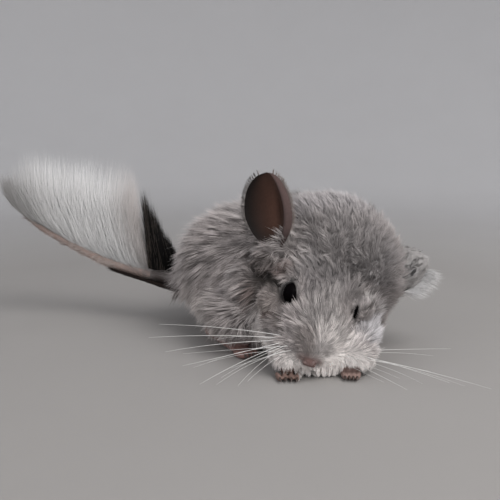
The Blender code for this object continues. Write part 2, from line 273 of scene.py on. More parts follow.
def addNode(tree, kind, **settings):
    # settings named in_Something go to that input, the others to the node itself
    node = tree.nodes.new("ShaderNode" + kind)
    for key, value in settings.items():
        if key.startswith("in_"):
            node.inputs[key[3:].replace("_", " ")].default_value = value
        else:
            setattr(node, key, value)
    return node


def addGroup(tree, group, **values):
    node = tree.nodes.new("ShaderNodeGroup")
    node.node_tree = group
    for socket, value in values.items():
        node.inputs[socket].default_value = value
    return node


def remap(tree, source, fromLow, fromHigh, toLow, toHigh):
    node = addNode(tree, "MapRange")
    for socket, value in zip(("From Min", "From Max", "To Min", "To Max"), (fromLow, fromHigh, toLow, toHigh)):
        node.inputs[socket].default_value = value
    tree.links.new(source, node.inputs["Value"])
    return node.outputs["Result"]


def speckleGroup():
    # colour times 1 + amount * (noise - 0.5): the uneven tone of hair, skin and stone
    group = bpy.data.node_groups.new("speckle", "ShaderNodeTree")
    for name, kind in (("colour", "NodeSocketColor"), ("fine", "NodeSocketFloat"), ("amount", "NodeSocketFloat")):
        group.interface.new_socket(name, in_out="INPUT", socket_type=kind)
    group.interface.new_socket("colour", in_out="OUTPUT", socket_type="NodeSocketColor")
    given = group.nodes.new("NodeGroupInput")
    result = group.nodes.new("NodeGroupOutput")
    where = group.nodes.new("ShaderNodeTexCoord")
    noise = addNode(group, "TexNoise", in_Detail=3.0, in_Roughness=0.6)
    group.links.new(where.outputs["Object"], noise.inputs["Vector"])
    group.links.new(given.outputs["fine"], noise.inputs["Scale"])
    centred = addNode(group, "Math", operation="SUBTRACT")
    centred.inputs[1].default_value = 0.5
    group.links.new(noise.outputs["Fac"], centred.inputs[0])
    tone = addNode(group, "Math", operation="MULTIPLY_ADD")
    tone.inputs[2].default_value = 1.0
    group.links.new(centred.outputs[0], tone.inputs[0])
    group.links.new(given.outputs["amount"], tone.inputs[1])
    scaled = addNode(group, "VectorMath", operation="SCALE")
    group.links.new(given.outputs["colour"], scaled.inputs[0])
    group.links.new(tone.outputs[0], scaled.inputs["Scale"])
    group.links.new(scaled.outputs[0], result.inputs["colour"])
    return group


speckle = speckleGroup()


def paintedMaterial(name, attribute, fine, amount, **values):
    # base colour from a colour attribute, made uneven by the speckle group
    material, tree, shader = newMaterial(name, **values)
    paint = addNode(tree, "Attribute", attribute_name=attribute)
    uneven = addGroup(tree, speckle, fine=fine, amount=amount)
    tree.links.new(paint.outputs["Color"], uneven.inputs["colour"])
    tree.links.new(uneven.outputs["colour"], shader.inputs["Base Color"])
    return material, tree, shader


def coatMaterial(name, **values):
    # rougher towards the root: each blade's "along" runs from 0 at the skin to 1 at the tip
    material, tree, shader = paintedMaterial(name, "coatColour", 700.0, 0.35, **values)
    along = addNode(tree, "Attribute", attribute_name="along")
    rough = remap(tree, along.outputs["Fac"], 0.0, 1.0, 0.85, 0.6)
    tree.links.new(rough, shader.inputs["Roughness"])
    return material


# Skin: the flesh under the coat, in millimetres. Trunk rows are x, y, z, half width, half height.
trunk = {
    "tailRoot": (-68.0, 91.0, 23.0, 5.0, 6.0),
    "rump": (-56.0, 85.0, 28.0, 15.0, 16.0),
    "haunch": (-44.0, 78.0, 33.0, 26.0, 27.0),
    "loin": (-24.0, 69.0, 36.0, 32.0, 32.0),
    "back": (-4.0, 58.0, 38.0, 34.0, 34.0),
    "withers": (10.5, 44.0, 38.5, 32.0, 34.5),
    "shoulder": (9.0, 33.0, 28.0, 25.0, 21.0),
    "chest": (6.0, 22.0, 20.0, 16.0, 13.0),
}
trunkMasses = {
    "rightHaunch": (-41.0, 66.0, 20.0, 14.0, 16.0, 16.0),
    "leftHaunch": (-1.0, 88.0, 20.0, 18.0, 14.0, 16.0),
    "rightBreast": (-18.0, 24.0, 18.0, 9.0, 9.0, 11.0),
    "leftBreast": (18.0, 19.0, 18.0, 8.0, 9.0, 11.0),
    "bib": (1.0, 17.0, 9.5, 18.0, 9.0, 9.0),
    "rightBelly": (-34.0, 48.0, 16.0, 18.0, 23.0, 15.4),
    "rightShoulder": (-25.0, 37.0, 31.0, 14.0, 11.0, 16.0),
    "rightEarBase": (-19.5, 29.0, 50.5, 7.6, 6.6, 6.6),
    "rightEarFront": (-14.0, 29.0, 53.0, 7.6, 7.4, 7.6),
    "rightThigh": (-45.5, 64.0, 23.0, 12.0, 16.0, 15.0),
    "leftBelly": (24.0, 60.0, 13.0, 15.0, 24.0, 12.4),
    "scruff": (9.0, 38.0, 46.0, 24.0, 18.0, 17.0),
}
# The face sits on the floor and spreads there: pads, jowls and puffed cheeks that differ from side to side
faceMasses = {
    "rightPad": (-14.5, 4.5, 8.8, 7.6, 7.4, 7.4),
    "rightJowl": (-15.2, 12.0, 18.0, 8.2, 8.0, 9.0),
    "rightPuff": (-21.6, 14.6, 31.2, 6.0, 5.4, 6.0),
    "leftPad": (14.2, 4.8, 9.4, 9.2, 7.4, 7.2),
    "leftJowl": (18.3, 11.0, 15.5, 8.0, 8.0, 8.6),
    "leftPuff": (18.6, 13.5, 19.5, 7.0, 6.4, 7.4),
    "underLid": (18.6, 14.5, 27.0, 8.0, 6.2, 4.8),
    "chin": (0.0, 6.0, 5.2, 14.0, 7.0, 4.6),
}
# Head rows are along, centre height, half width, half height, in the head's axes
skull = {
    "nape": (-18.0, -11.0, 16.0, 14.0),
    "occiput": (-9.0, -10.0, 22.0, 18.0),
    "ears": (3.0, -9.0, 24.0, 18.6),
    "temples": (15.0, -8.5, 24.0, 17.8),
    "eyes": (27.0, -7.0, 20.8, 15.2),
    "bridge": (37.0, -6.4, 17.2, 13.2),
    "muzzle": (46.0, -5.2, 13.2, 10.3),
    "nostrils": (53.0, -3.8, 8.4, 7.0),
    "noseTip": (56.6, -2.4, 3.2, 3.0),
}
headMasses = {
    "cheek": (21.0, 16.8, -11.5, 13.0, 8.8, 11.5),
    "jowl": (36.0, 14.0, -9.5, 10.5, 8.0, 8.5),
    "whiskerPad": (44.5, 8.0, -7.6, 9.2, 8.6, 7.4),
    "brow": (20.0, 9.0, 4.2, 8.0, 5.4, 4.0),
    "jaw": (33.0, 9.5, -13.6, 16.0, 10.5, 9.2),
}
noseMasses = {
    "ball": (55.6, 0.0, -2.1, 2.5, 2.9, 2.3),
    "wing": (56.2, 1.9, -2.6, 1.7, 1.5, 1.5),
    "lip": (52.6, 3.2, -6.2, 4.4, 3.8, 3.6),
}
tailStem = {
    "root": (-64.0, 90.0, 23.0, 5.5, 5.5),
    "dock": (-78.0, 94.0, 24.0, 4.6, 4.6),
    "low": (-96.0, 96.5, 28.0, 4.0, 4.0),
    "middle": (-115.0, 98.0, 34.0, 3.5, 3.5),
    "high": (-135.0, 98.0, 44.0, 3.0, 3.0),
    "end": (-152.0, 97.0, 54.0, 2.4, 2.4),
    "tip": (-160.0, 97.0, 60.0, 1.6, 1.6),
}
forelegs = {
    "right": ((-12.0, 24.0, 15.0, 6.0), (-15.0, 17.0, 9.5, 4.8), (-16.0, 11.0, 5.2, 3.6), (-16.0, 5.0, 3.0, 2.8)),
    "left": ((14.0, 23.0, 15.0, 6.0), (15.0, 17.0, 9.5, 4.8), (13.5, 12.0, 5.2, 3.6), (12.5, 7.0, 3.0, 2.8)),
}
forePaws = {"right": (-15.4, 0.8, 0.0, 1.0), "left": (12.6, 2.2, -6.0, 0.78)}  # x, y, heading, toes' spread
forePaw = {
    "radii": (3.2, 3.2, 1.9), "toe": (1.05, 4.2, 1.55), "reach": 4.9, "fan": 12.0, "ahead": 2.7, "claw": 0.72,
    "palmBack": 2.8,
}
hindFeet = {"right": ((-54.0, 61.0), (-33.0, 27.0)), "left": ((-14.0, 96.0), (11.0, 64.0))}
hindFoot = {
    "width": 9.4, "height": 8.0, "toe": (1.5, 4.8, 1.8), "reach": 3.9, "fan": 9.0, "ahead": -1.0, "claw": 0.8,
}
hindSole = ((0.0, 0.55, 1.0), (0.3, 0.8, 1.15), (0.65, 1.0, 0.8), (0.92, 0.9, 0.5))
skinFinish = {  # voxel size in millimetres, passes of smoothing, share of triangles kept
    "soft": (0.95, 26, 1.0), "fine": (0.56, 3, 0.5),
}
dents = {  # in the head's axes: place, reach, depth
    "rightNostril": ((56.4, -3.7, -3.0), 1.1, 1.3),
    "leftNostril": ((56.4, 3.7, -3.0), 1.1, 1.3),
    "philtrum": ((57.2, 0.0, -5.2), 0.9, 0.9),
}


def headShapes(masses):
    # ellipsoids in the head's axes, once on each side of it
    shapes = []
    for along, out, high, *radii in masses.values():
        for sign in sides.values():
            shapes.append(ellipsoid(fromHead((along, sign * out, high)), radii, headAxes))
    return shapes


def skullShapes():
    rows = smoothRows(list(skull.values()), 5)
    centres = fromHead(np.stack([rows[:, 0], 0.0 * rows[:, 0], rows[:, 1]], axis=1))
    return [ringTube(centres, rows[:, 2:3] * headAxes[:, 1], rows[:, 3:4] * headAxes[:, 2], 40)]


def toeShapes(spot, heading, paw):
    # four toes side by side, fanned out, and the seat of a claw at each tip
    shapes, seats = [], []
    width, length, height = paw["toe"]
    for k in range(4):
        share = (k - 1.5) / 1.5
        axes = turnAbout("z", heading - paw["fan"] * share)
        local = np.array([paw["reach"] * share, -paw["ahead"] + 0.6 * abs(share), height])
        middle = np.array([*spot, 0.0]) + axes @ local
        shapes.append(ellipsoid(middle, (width, length, height), axes, 12))
        seats.append((middle + np.array([0.0, 0.0, 0.3]) - axes[:, 1] * (length - 0.9), -axes[:, 1], paw["claw"]))
    return shapes, seats


def pawShapes():
    shapes, seats = [], []
    for side in sides:
        shapes.append(limbTube([(x, y, z, r, r) for x, y, z, r in forelegs[side]]))
        x, y, heading, spread = forePaws[side]
        hand = {**forePaw, "reach": forePaw["reach"] * spread}
        palm = (x, y + forePaw["palmBack"], forePaw["radii"][2])
        shapes.append(ellipsoid(palm, forePaw["radii"], turnAbout("z", heading), 14))
        heel, front = (np.array(p) for p in hindFeet[side])
        share, wide, tall = np.array(hindSole).T
        half = hindFoot["height"] / 2 * tall
        line = heel + (front - heel) * share[:, None]
        shapes.append(limbTube(np.column_stack([line, 0.9 * half, hindFoot["width"] / 2 * wide, half * 0.85])))
        turn = math.degrees(math.atan2(front[1] - heel[1], front[0] - heel[0])) + 90.0
        for spot, angle, paw in (((x, y), heading, hand), (tuple(front), turn, hindFoot)):
            toes, tips = toeShapes(spot, angle, paw)
            shapes += toes
            seats += tips
    return shapes, seats


def melted(shapes, voxel, passes, kept):
    # one closed surface round all the shapes on a grid of voxels, relaxed and then thinned
    rough = meshObject("flesh", *joined(shapes))
    melt = rough.modifiers.new("melt", "REMESH")
    melt.mode = "VOXEL"
    melt.voxel_size = voxel * millimetre
    relax = rough.modifiers.new("relax", "SMOOTH")
    relax.iterations = passes
    thin = rough.modifiers.new("thin", "DECIMATE")
    thin.ratio = kept
    graph = bpy.context.evaluated_depsgraph_get()
    points, faces = meshArrays(rough.evaluated_get(graph).to_mesh())
    bpy.data.objects.remove(rough)
    return points, faces


def skinBody():
    # the rounded masses run softly into one another; paws, nose and tail join them with less smoothing
    masses = [limbTube(list(trunk.values()), 48), *skullShapes(), *headShapes(headMasses)]
    for x, y, z, *radii in [*trunkMasses.values(), *faceMasses.values()]:
        masses.append(ellipsoid((x, y, z), radii))
    paws, seats = pawShapes()
    soft = melted(masses, *skinFinish["soft"])
    details = [soft, *headShapes(noseMasses), *paws, limbTube(list(tailStem.values()))]
    points, faces = melted(details, *skinFinish["fine"])
    normals = pointNormals(points, faces)
    local = toHead(points)
    for spot, reach, depth in dents.values():
        away = np.linalg.norm((local - spot) * (1.0, 1.0, 0.8), axis=1)
        points = points - normals * column(depth * np.exp(-((away / reach) ** 2)))
    return points, faces, seats


# Ears: a cupped leaf, its rims turned to the hollow side, with a long crease and a folded front edge
ears = {
    "right": {"root": (-20.5, 25.0, 54.0), "tip": (-24.3, 24.5, 88.8), "hollow": (-0.4, -0.9, 0.12), "width": 24.4,
              "cup": 0.34, "lean": -1.0},
    "left": {"root": (31.5, 28.0, 38.0), "tip": (55.0, 42.5, 44.6), "hollow": (-0.5, 0.75, -0.4), "width": 20.0,
             "cup": 0.42, "lean": 1.0},
}
earShape = {"rows": 44, "columns": 34, "widest": 0.47, "rootShare": 0.3, "middle": 1.0, "rim": 0.42, "crease": 0.4,
            "pale": {"right": 0, "left": 33}}


def earLeaf(ear):
    # front: root + along v + across w(v) u + hollow w(v) (cup u^2 - crease + fold), u across and v along;
    # back: the front moved by the thickness, which is least at the rims
    v = np.linspace(0.0, 1.0, earShape["rows"])[:, None]
    u = np.sin(np.linspace(-0.5, 0.5, earShape["columns"]) * np.pi)[None, :]
    root, tip = np.array(ear["root"]), np.array(ear["tip"])
    along = unit(tip - root)
    hollow = unit(np.array(ear["hollow"]) - along * (along @ np.array(ear["hollow"])))
    across = np.cross(hollow, along)
    above = np.sqrt(np.clip(1.0 - ((v - earShape["widest"]) / (1.0 - earShape["widest"])) ** 2, 0.0, 1.0))
    below = np.sin(np.clip(v / earShape["widest"], 0.0, 1.0) * np.pi / 2) ** 0.9
    below = mixed(earShape["rootShare"], 1.0, below)
    half = ear["width"] / 2 * np.where(v > earShape["widest"], above, below)
    taper = np.sin(np.pi * np.clip(v * 0.9 + 0.06, 0.0, 1.0))
    crease = 0.17 * np.exp(-(((u * ear["lean"] - earShape["crease"]) / 0.09) ** 2)) * taper
    fold = 0.16 * easeStep(0.42, 0.72, u * ear["lean"]) * taper
    ripple = 0.02 * np.sin(9.0 * u + 5.0 * v) * taper
    depth = half * (ear["cup"] * u**2 - crease + fold + ripple) - 2.5 * np.sin(np.pi * v)
    lean = ear["lean"] * -0.6 * np.sin(np.pi * v * 0.9)
    length = np.linalg.norm(tip - root)
    spots = [v * length + 0.0 * u, half * u + lean, depth]
    front = root + sum(s[..., None] * a for s, a in zip(spots, (along, across, hollow)))
    thick = mixed(earShape["rim"], earShape["middle"], 1.0 - u**2) * (0.4 + 0.6 * taper)
    back = front - thick[..., None] * hollow
    rings = np.concatenate([front, back[:, ::-1]], axis=1)
    outer = np.concatenate([np.tile(u, (len(v), 1)), np.tile(u[:, ::-1], (len(v), 1))], axis=1)
    points, faces = closedTube(rings)
    inner = np.repeat(np.arange(rings.shape[1])[None] < u.shape[1], len(v), 0).ravel()
    facts = {"u": outer.ravel(), "v": (v + 0.0 * outer).ravel(), "inner": inner}
    return points, faces, {key: np.append(value, value[[0, -1]]) for key, value in facts.items()}


# Eyes and lids. A lid is a ring of skin on the eyeball, from the opening's edge back to where it meets the head;
# the right one is open and the left one all but shut. Angles are seen from the eyeball's middle.
eyes = {"radius": 4.85, "right": (27.9, -14.1, 2.1), "left": (26.9, 17.2, 2.1)}
# shade and bright scale the painted shade at the opening's edge, on the side darkWay points to and on the other side;
# fade is how far it reaches
lids = {
    "right": {"axis": (0.583, -0.33, 0.743), "wide": 80.0, "high": 35.0, "roll": 0.0, "back": 112.0, "thick": 0.12,
              "shade": 0.05, "bright": 0.55, "fade": 3.6, "darkWay": (-0.85, 0.0, 0.5)},
    "left": {"axis": (0.656, -0.417, 0.615), "wide": 35.0, "high": 9.0, "roll": 161.5, "back": 116.0, "thick": 0.2,
             "shade": 0.35, "bright": 0.5, "fade": 2.2, "darkWay": (-1.0, 0.0, 0.0)},
}


def eyeFrame(side):
    middle = fromHead(eyes[side])
    axis = unit(np.array(lids[side]["axis"])) @ headAxes.T
    forward = unit(headAxes[:, 0] - axis * (axis @ headAxes[:, 0]))
    return middle, axis, forward, np.cross(axis, forward)


def eyeball(side):
    # a sphere with the cornea standing out by 0.2 mm as a bell round its axis
    middle, axis, forward, upward = eyeFrame(side)
    polar = np.linspace(np.pi - 0.03, 0.03, 44)
    reach = eyes["radius"] + 0.2 * np.exp(-((polar / 0.6) ** 2))
    centres = middle + column(np.cos(polar) * reach) * axis
    spread = column(np.sin(polar) * reach)
    return ringTube(centres, spread * forward, spread * upward, 56)


def lidOpening(lid, turn):
    # the opening's half angle in degrees: an ellipse turned by roll, in polar form
    rolled = turn - math.radians(lid["roll"])
    return 1.0 / np.sqrt((np.cos(rolled) / lid["wide"]) ** 2 + (np.sin(rolled) / lid["high"]) ** 2)


def lidRing(side):
    # its section is a flat oval on the eyeball
    lid = lids[side]
    middle, axis, forward, upward = eyeFrame(side)
    turn = np.linspace(0.0, 2.0 * np.pi, 72, endpoint=False)[:, None]
    section = np.linspace(0.0, 2.0 * np.pi, 20, endpoint=False)[None, :]
    opening = lidOpening(lid, turn)
    half = (lid["back"] - opening) / 2
    angle = np.radians(opening + half - half * np.cos(section))
    radius = eyes["radius"] + 0.25 + lid["thick"] * (1.0 - np.sin(section)) + 0.0 * turn
    out = np.cos(turn)[..., None] * forward + np.sin(turn)[..., None] * upward
    points = middle + radius[..., None] * (np.cos(angle)[..., None] * axis + np.sin(angle)[..., None] * out)
    quads = gridFaces(73, 20, closed=True)[:, ::-1] % (72 * 20)
    edge = np.exp(-(((np.degrees(angle) - opening) / 5.0) ** 2))
    return points.reshape(-1, 3), np.vstack([quads[:, [0, 1, 2]], quads[:, [0, 2, 3]]]), edge.ravel()


def fromOpening(side, points):
    # millimetres along the eyeball from the opening's edge, and the way out from it
    middle, axis, forward, upward = eyeFrame(side)
    out = unit(points - middle)
    turn = np.arctan2(out @ upward, out @ forward)
    angle = np.degrees(np.arccos(np.clip(out @ axis, -1.0, 1.0)))
    away = np.radians(angle - lidOpening(lids[side], turn)) * eyes["radius"]
    return away, np.cos(turn)[:, None] * forward + np.sin(turn)[:, None] * upward


print("skin: melting the body")
bodyPoints, bodyFaces, clawSeats = skinBody()
leaves = {side: earLeaf(ear) for side, ear in ears.items()}
rings = {side: lidRing(side) for side in sides}
skinShapes = [(bodyPoints, bodyFaces)]
skinShapes += [leaf[:2] for leaf in leaves.values()]
skinShapes += [ring[:2] for ring in rings.values()]
skinPoints, skinFaces = joined(skinShapes)
skinNormals = pointNormals(skinPoints, skinFaces)
# parts: 0 body, 1 and 2 ears, 3 and 4 lids
skinPart = np.repeat(np.arange(5), [len(points) for points, _ in skinShapes])
lidParts = {"right": 3, "left": 4}
print("skin has", len(skinPoints), "points and", len(skinFaces), "triangles")


# Markings: soft ellipsoids over the coat, each laid over those before it. Most are the coat's own colours; those
# noted below are painted light and painted shade. A colour is linear red, green, blue.
coatBase = (0.34, 0.32, 0.315)
warmth = np.array([1.03, 0.985, 0.97])
markings = {
    # painted light: the tops of the nape and the back lighter where the light from above falls on them
    "litNape": ("body", (12, 48, 74), (34, 26, 19), (0.37, 0.362, 0.372), 0.9),
    "litBack": ("body", (-20, 66, 74), (40, 30, 14), (0.33, 0.32, 0.32), 0.7),
    "paleFlankRight": ("body", (-54, 56, 14), (26, 26, 17), (0.41, 0.387, 0.372), 0.85),
    "paleFlankLeft": ("body", (34, 80, 14), (30, 34, 18), (0.50, 0.475, 0.46), 0.8),
    "belly": ("body", (-10, 55, 0), (60, 50, 8), (0.46, 0.43, 0.41), 0.9),
    "breast": ("body", (2, 12, 6), (24, 14, 11), (0.80, 0.79, 0.77), 1.0),
    "saddle": ("body", (24, 34, 46), (14, 22, 17), (0.235, 0.228, 0.232), 0.9),
    "crown": ("head", (6, 2, 12), (22, 20, 14), (0.31, 0.302, 0.302), 0.75),
    "brow": ("head", (24, 0, 10), (12, 14, 9), (0.21, 0.202, 0.203), 0.85),
    "bridge": ("head", (41, 2, 6), (17, 9, 12), (0.36, 0.348, 0.342), 0.9),
    # painted shade: the right cheek darker on the side turned away from the light
    "shadedRightCheek": ("head", (28, -22, -6), (15, 12, 12), (0.175, 0.157, 0.149), 0.85),
    "neckShade": ("body", (-26.6, 31.5, 45.5), (4, 8, 8.5), (0.06, 0.052, 0.048), 0.88),
    # painted shade: dark in the hollow beside the right eye
    "socket": ("body", (-23, 24.5, 39.6), (7.6, 10, 3.8), (0.04, 0.034, 0.031), 0.94),
    "browSkin": ("body", (-15.5, 20.5, 45.2), (6, 7, 3.4), (0.15, 0.118, 0.11), 0.85),
    "rightPuff": ("body", (-24.0, 12.5, 31.5), (4.5, 6, 4.5), (0.33, 0.30, 0.285), 0.8),
    # painted shade under the foot of the right ear
    "underEarShade": ("body", (-24, 28, 48), (7, 9, 4.5), (0.17, 0.152, 0.145), 0.8),
    "eyeShadow": ("body", (-19.8, 17.5, 39), (4.4, 7, 5.5), (0.018, 0.015, 0.013), 0.92),
    # painted shade in the creases round the right cheek's puff: under it, behind it and beside the muzzle
    "puffCreaseShade": ("body", (-23.8, 11.5, 25.8), (5, 7, 1.8), (0.11, 0.075, 0.066), 0.85),
    "puffSideShade": ("body", (-29.8, 27.5, 32), (2.6, 7, 6.5), (0.12, 0.088, 0.079), 0.7),
    "cheekCreaseShade": ("body", (-17.9, 4.2, 22.4), (2.0, 4, 4.5), (0.12, 0.105, 0.098), 0.7),
    "leftCheek": ("head", (31, 24, -6), (13, 11, 10), (0.62, 0.62, 0.64), 1.0),
    "leftFold": ("body", (21, 10, 28.5), (8, 8, 4), (0.31, 0.295, 0.292), 0.85),
    "leftPuff": ("body", (22.9, 6.7, 19.5), (6.5, 8, 5.5), (0.50, 0.505, 0.525), 0.9),
    # painted shade in the crease between the muzzle and the left cheek's puff
    "puffEdgeShade": ("body", (13.4, 6.8, 21.7), (1.8, 5, 5), (0.19, 0.18, 0.175), 0.7),
    "lidTuft": ("body", (23.0, 13, 31.6), (4.2, 6, 2.0), (0.50, 0.49, 0.485), 0.85),
    "lidTop": ("body", (17.2, 10.6, 33.2), (4.4, 5, 2.2), (0.16, 0.152, 0.15), 0.75),
    # painted shadow: the dark line under the pale tuft over the left eye
    "lidFoldShadow": ("body", (20.4, 8.5, 29.0), (4.6, 5, 0.9), (0.05, 0.044, 0.042), 0.92),
    "muzzle": ("head", (47, 4, -9), (12, 19, 7), (0.78, 0.76, 0.745), 1.0),
    "leftPad": ("head", (48, 15, -5), (10, 9, 7), (0.74, 0.72, 0.71), 1.0),
    "chin": ("head", (38, 0, -20), (26, 26, 13), (0.96, 0.95, 0.93), 1.0),
    "muzzleRight": ("body", (5, -3, 17), (9, 9, 9), (0.50, 0.485, 0.475), 0.8),
    "padsLow": ("body", (2, 0, 5), (26, 14, 8), (0.92, 0.905, 0.885), 0.9),
    "noseShade": ("head", (50, -3.5, 3), (7, 4.5, 5), (0.17, 0.152, 0.145), 0.75),
    "earLock": ("body", (-15, 27.5, 58), (5.5, 7, 5), (0.47, 0.455, 0.445), 0.8),
    "nose": ("head", (56.6, 0, -1.5), (3.6, 5.4, 3.4), (0.21, 0.145, 0.135), 0.9),
    "tailPale": ("body", (-125, 97, 42), (44, 14, 26), (0.44, 0.385, 0.36), 1.0),
    "tailUnder": ("body", (-86, 94, 18), (34, 12, 9), (0.055, 0.042, 0.038), 1.0),
}


limbPaint = {  # bare skin on the right and left forelegs and the right and left hind feet
    3: (0.19, 0.125, 0.105), 4: (0.24, 0.165, 0.145), 5: (0.22, 0.13, 0.115), 6: (0.20, 0.125, 0.11),
}


def markedColour(points):
    # base colour, then mark by mark: share = strength (1 - ease(0.5, 1.35, distance in the mark's radii))
    colour = np.tile(coatBase, (len(points), 1))
    local = {"body": points, "head": toHead(points)}
    ragged = 0.16 * softNoise(points, 5.0, 3) + 0.08 * softNoise(points, 1.8, 4)
    for where, spot, radii, tint, strength in markings.values():
        away = np.linalg.norm((local[where] - spot) / radii, axis=1) + ragged
        share = strength * (1.0 - easeStep(0.5, 1.35, away))
        colour = mixed(colour, np.array(tint), column(share))
    return colour * warmth * column(1.0 + 0.14 * softNoise(points, 7.0, 8))


def limbColour(points, region, colour):
    # bare skin from the toes up to about 5 mm, running into the coat's colour above
    for number, tint in limbPaint.items():
        share = np.where(region == number, 1.0 - easeStep(3.5, 7.0, points[:, 2]), 0.0)
        colour = mixed(colour, np.array(tint), column(share))
    return colour


# ear colours: inner, fold, back, lid and laid are the skin's own; the near-black rim colour and the dark colour of
# the crease and the ear's foot are painted shade
earPaint = {
    "inner": (0.040, 0.019, 0.013), "rim": (0.004, 0.0025, 0.002), "fold": (0.24, 0.165, 0.155),
    "canalShade": (0.014, 0.008, 0.007), "back": (0.20, 0.175, 0.168), "lid": (0.025, 0.019, 0.018),
    "laid": (0.30, 0.285, 0.28),
}


def earColourAndShade(leaf, lean):
    u, v, inner = leaf["u"] * lean, leaf["v"], leaf["inner"]
    colour = np.tile(earPaint["inner"], (len(u), 1))
    # painted light and shade on the ear's hollow: lighter down its middle, near black along the rim turned from the
    # light, the folded strip darker towards the foot, and dark in the crease and at the foot
    colour *= column(1.0 + 0.9 * np.sin(np.pi * np.clip(v, 0, 1)) * np.exp(-(((u - 0.08) / 0.32) ** 2)))
    colour = mixed(colour, np.array(earPaint["rim"]), column(0.97 * (1.0 - easeStep(-0.98, -0.2, u))))
    strip = np.array(earPaint["fold"]) * column(0.35 + 0.9 * v)
    colour = mixed(colour, strip, column(easeStep(0.36, 0.62, u) * 0.85))
    crease = np.exp(-(((u - 0.40) / 0.12) ** 2)) * (1.0 - v)
    colour = mixed(colour, np.array(earPaint["canalShade"]), column(0.5 * crease))
    colour = mixed(colour, np.array(earPaint["canalShade"]), column(0.7 * (1.0 - easeStep(0.05, 0.3, v))))
    return np.where(column(inner), colour, np.array(earPaint["back"]) * column(0.8 + 0.2 * u**2))


def lidField(side, roots):
    # how far a root is from the edge of the lid's opening, along the eyeball and off it, and the way out
    off = np.linalg.norm(roots - eyeFrame(side)[0], axis=1) - eyes["radius"] - 0.9
    away, out = fromOpening(side, roots)
    return np.hypot(np.maximum(away, 0.0), 1.3 * np.maximum(off, 0.0)), out


def lidShade(points, colour):
    # painted shade round each eye's opening: darker towards its edge, and darkest on the side that darkWay points to
    for eye in sides:
        lid = lids[eye]
        away, out = lidField(eye, points)
        edge = mixed(lid["bright"], lid["shade"], easeStep(-0.4, 0.5, out @ np.array(lid["darkWay"])))
        colour = colour * column(mixed(edge, 1.0, easeStep(0.3, lid["fade"], away)))
    return colour


def skinColour():
    # the coat's markings, painted light and shade among them, a little darker, as under-fur, and bare colours on
    # nose, ears, lids and tail, with painted shade in the nostrils, on the ears and round the eyes
    colour = limbColour(skinPoints, boneField(skinPoints)[0], markedColour(skinPoints) * 0.62)
    colour = lidShade(skinPoints, colour)
    local = toHead(skinPoints)
    away = np.linalg.norm((local - (57.4, 0, -2.0)) / (2.8, 3.8, 3.0), axis=1)
    colour = mixed(colour, np.array([0.15, 0.092, 0.084]), column(1.0 - easeStep(0.8, 1.3, away)))
    # painted shade: the nostrils near black, for the shade deep inside them
    for name in ("rightNostril", "leftNostril"):
        spot, reach, _ = dents[name]
        hole = np.exp(-((np.linalg.norm(local - spot, axis=1) / reach) ** 2))
        colour = mixed(colour, np.array([0.01, 0.006, 0.006]), column(np.clip(hole * 1.3, 0, 1)))
    colour[skinPart == 1] = earColourAndShade(leaves["right"][2], ears["right"]["lean"])
    # painted shade: the left ear's rims darker, with the near-black rim colour
    rim = 0.7 * easeStep(0.9, 1.0, np.abs(leaves["left"][2]["u"]))
    colour[skinPart == 2] = mixed(np.array(earPaint["laid"]), np.array(earPaint["rim"]), column(rim))
    edge = column(np.concatenate([ring[2] for ring in rings.values()]))
    colour[skinPart > 2] = mixed(colour[skinPart > 2], np.array(earPaint["lid"]), edge)
    colour[(skinPart == 0) & (skinPoints[:, 0] < -90)] = (0.36, 0.27, 0.24)
    return colour


eyeMaterial, tree, shader = newMaterial("darkEye", Roughness=0.3, IOR=1.36, Specular_IOR_Level=0.02)
where = tree.nodes.new("ShaderNodeTexCoord")
iris = addNode(tree, "TexNoise", in_Scale=420.0, in_Detail=4.0)
tree.links.new(where.outputs["Object"], iris.inputs["Vector"])
tint = addNode(tree, "ValToRGB")
tint.color_ramp.elements[0].color = (0.001, 0.001, 0.0015, 1.0)
tint.color_ramp.elements[1].color = (0.003, 0.002, 0.002, 1.0)
tree.links.new(iris.outputs["Fac"], tint.inputs["Fac"])
tree.links.new(tint.outputs["Color"], shader.inputs["Base Color"])
eyeballs = {}
for side in sides:
    eyeballs[side] = meshObject("eye" + side.capitalize(), *eyeball(side))
    eyeballs[side].data.materials.append(eyeMaterial)


# Coat. The lie follows bone lines; each is centres, reach, direction of lie and share of its length.
coat = {
    "face": {"clump": 1.5, "fine": 0.75, "pull": 0.6, "finePull": 0.35, "swirl": 0.5, "curl": 0.14, "stand": 16.0,
             "tone": (0.75, 0.55, 0.3)},
    "crown": {"clump": 2.0, "fine": 0.9, "pull": 0.8, "finePull": 0.2, "swirl": 1.5, "curl": 0.3, "stand": 26.0,
              "tone": (0.6, 0.35, 0.25)},
    "scruff": {"clump": 2.2, "fine": 0.9, "pull": 0.55, "finePull": 0.3, "swirl": 1.5, "curl": 0.28, "stand": 24.0,
               "tone": (0.55, 0.35, 0.25)},
    "body": {"clump": 2.8, "fine": 1.1, "pull": 0.4, "finePull": 0.35, "swirl": 0.5, "curl": 0.16, "stand": 16.0,
             "tone": (0.6, 0.35, 0.25)},
}
earLock = np.array([-15.0, 24.8, 57.0])  # where locks rise over the foot of the right ear
shortSpots = ((-23.0, 12.5, 31.0), (22.0, 10.0, 19.0), (20.0, 10.0, 27.0))  # middles of the puffed cheeks


def boneLine(rows, perSpan=8):
    rows = smoothRows(rows, perSpan)
    return {
        "centres": rows[:, :3], "reach": rows[:, 3], "lie": unit(np.gradient(rows[:, :3], axis=0)),
        "share": np.linspace(0.0, 1.0, len(rows)),
    }


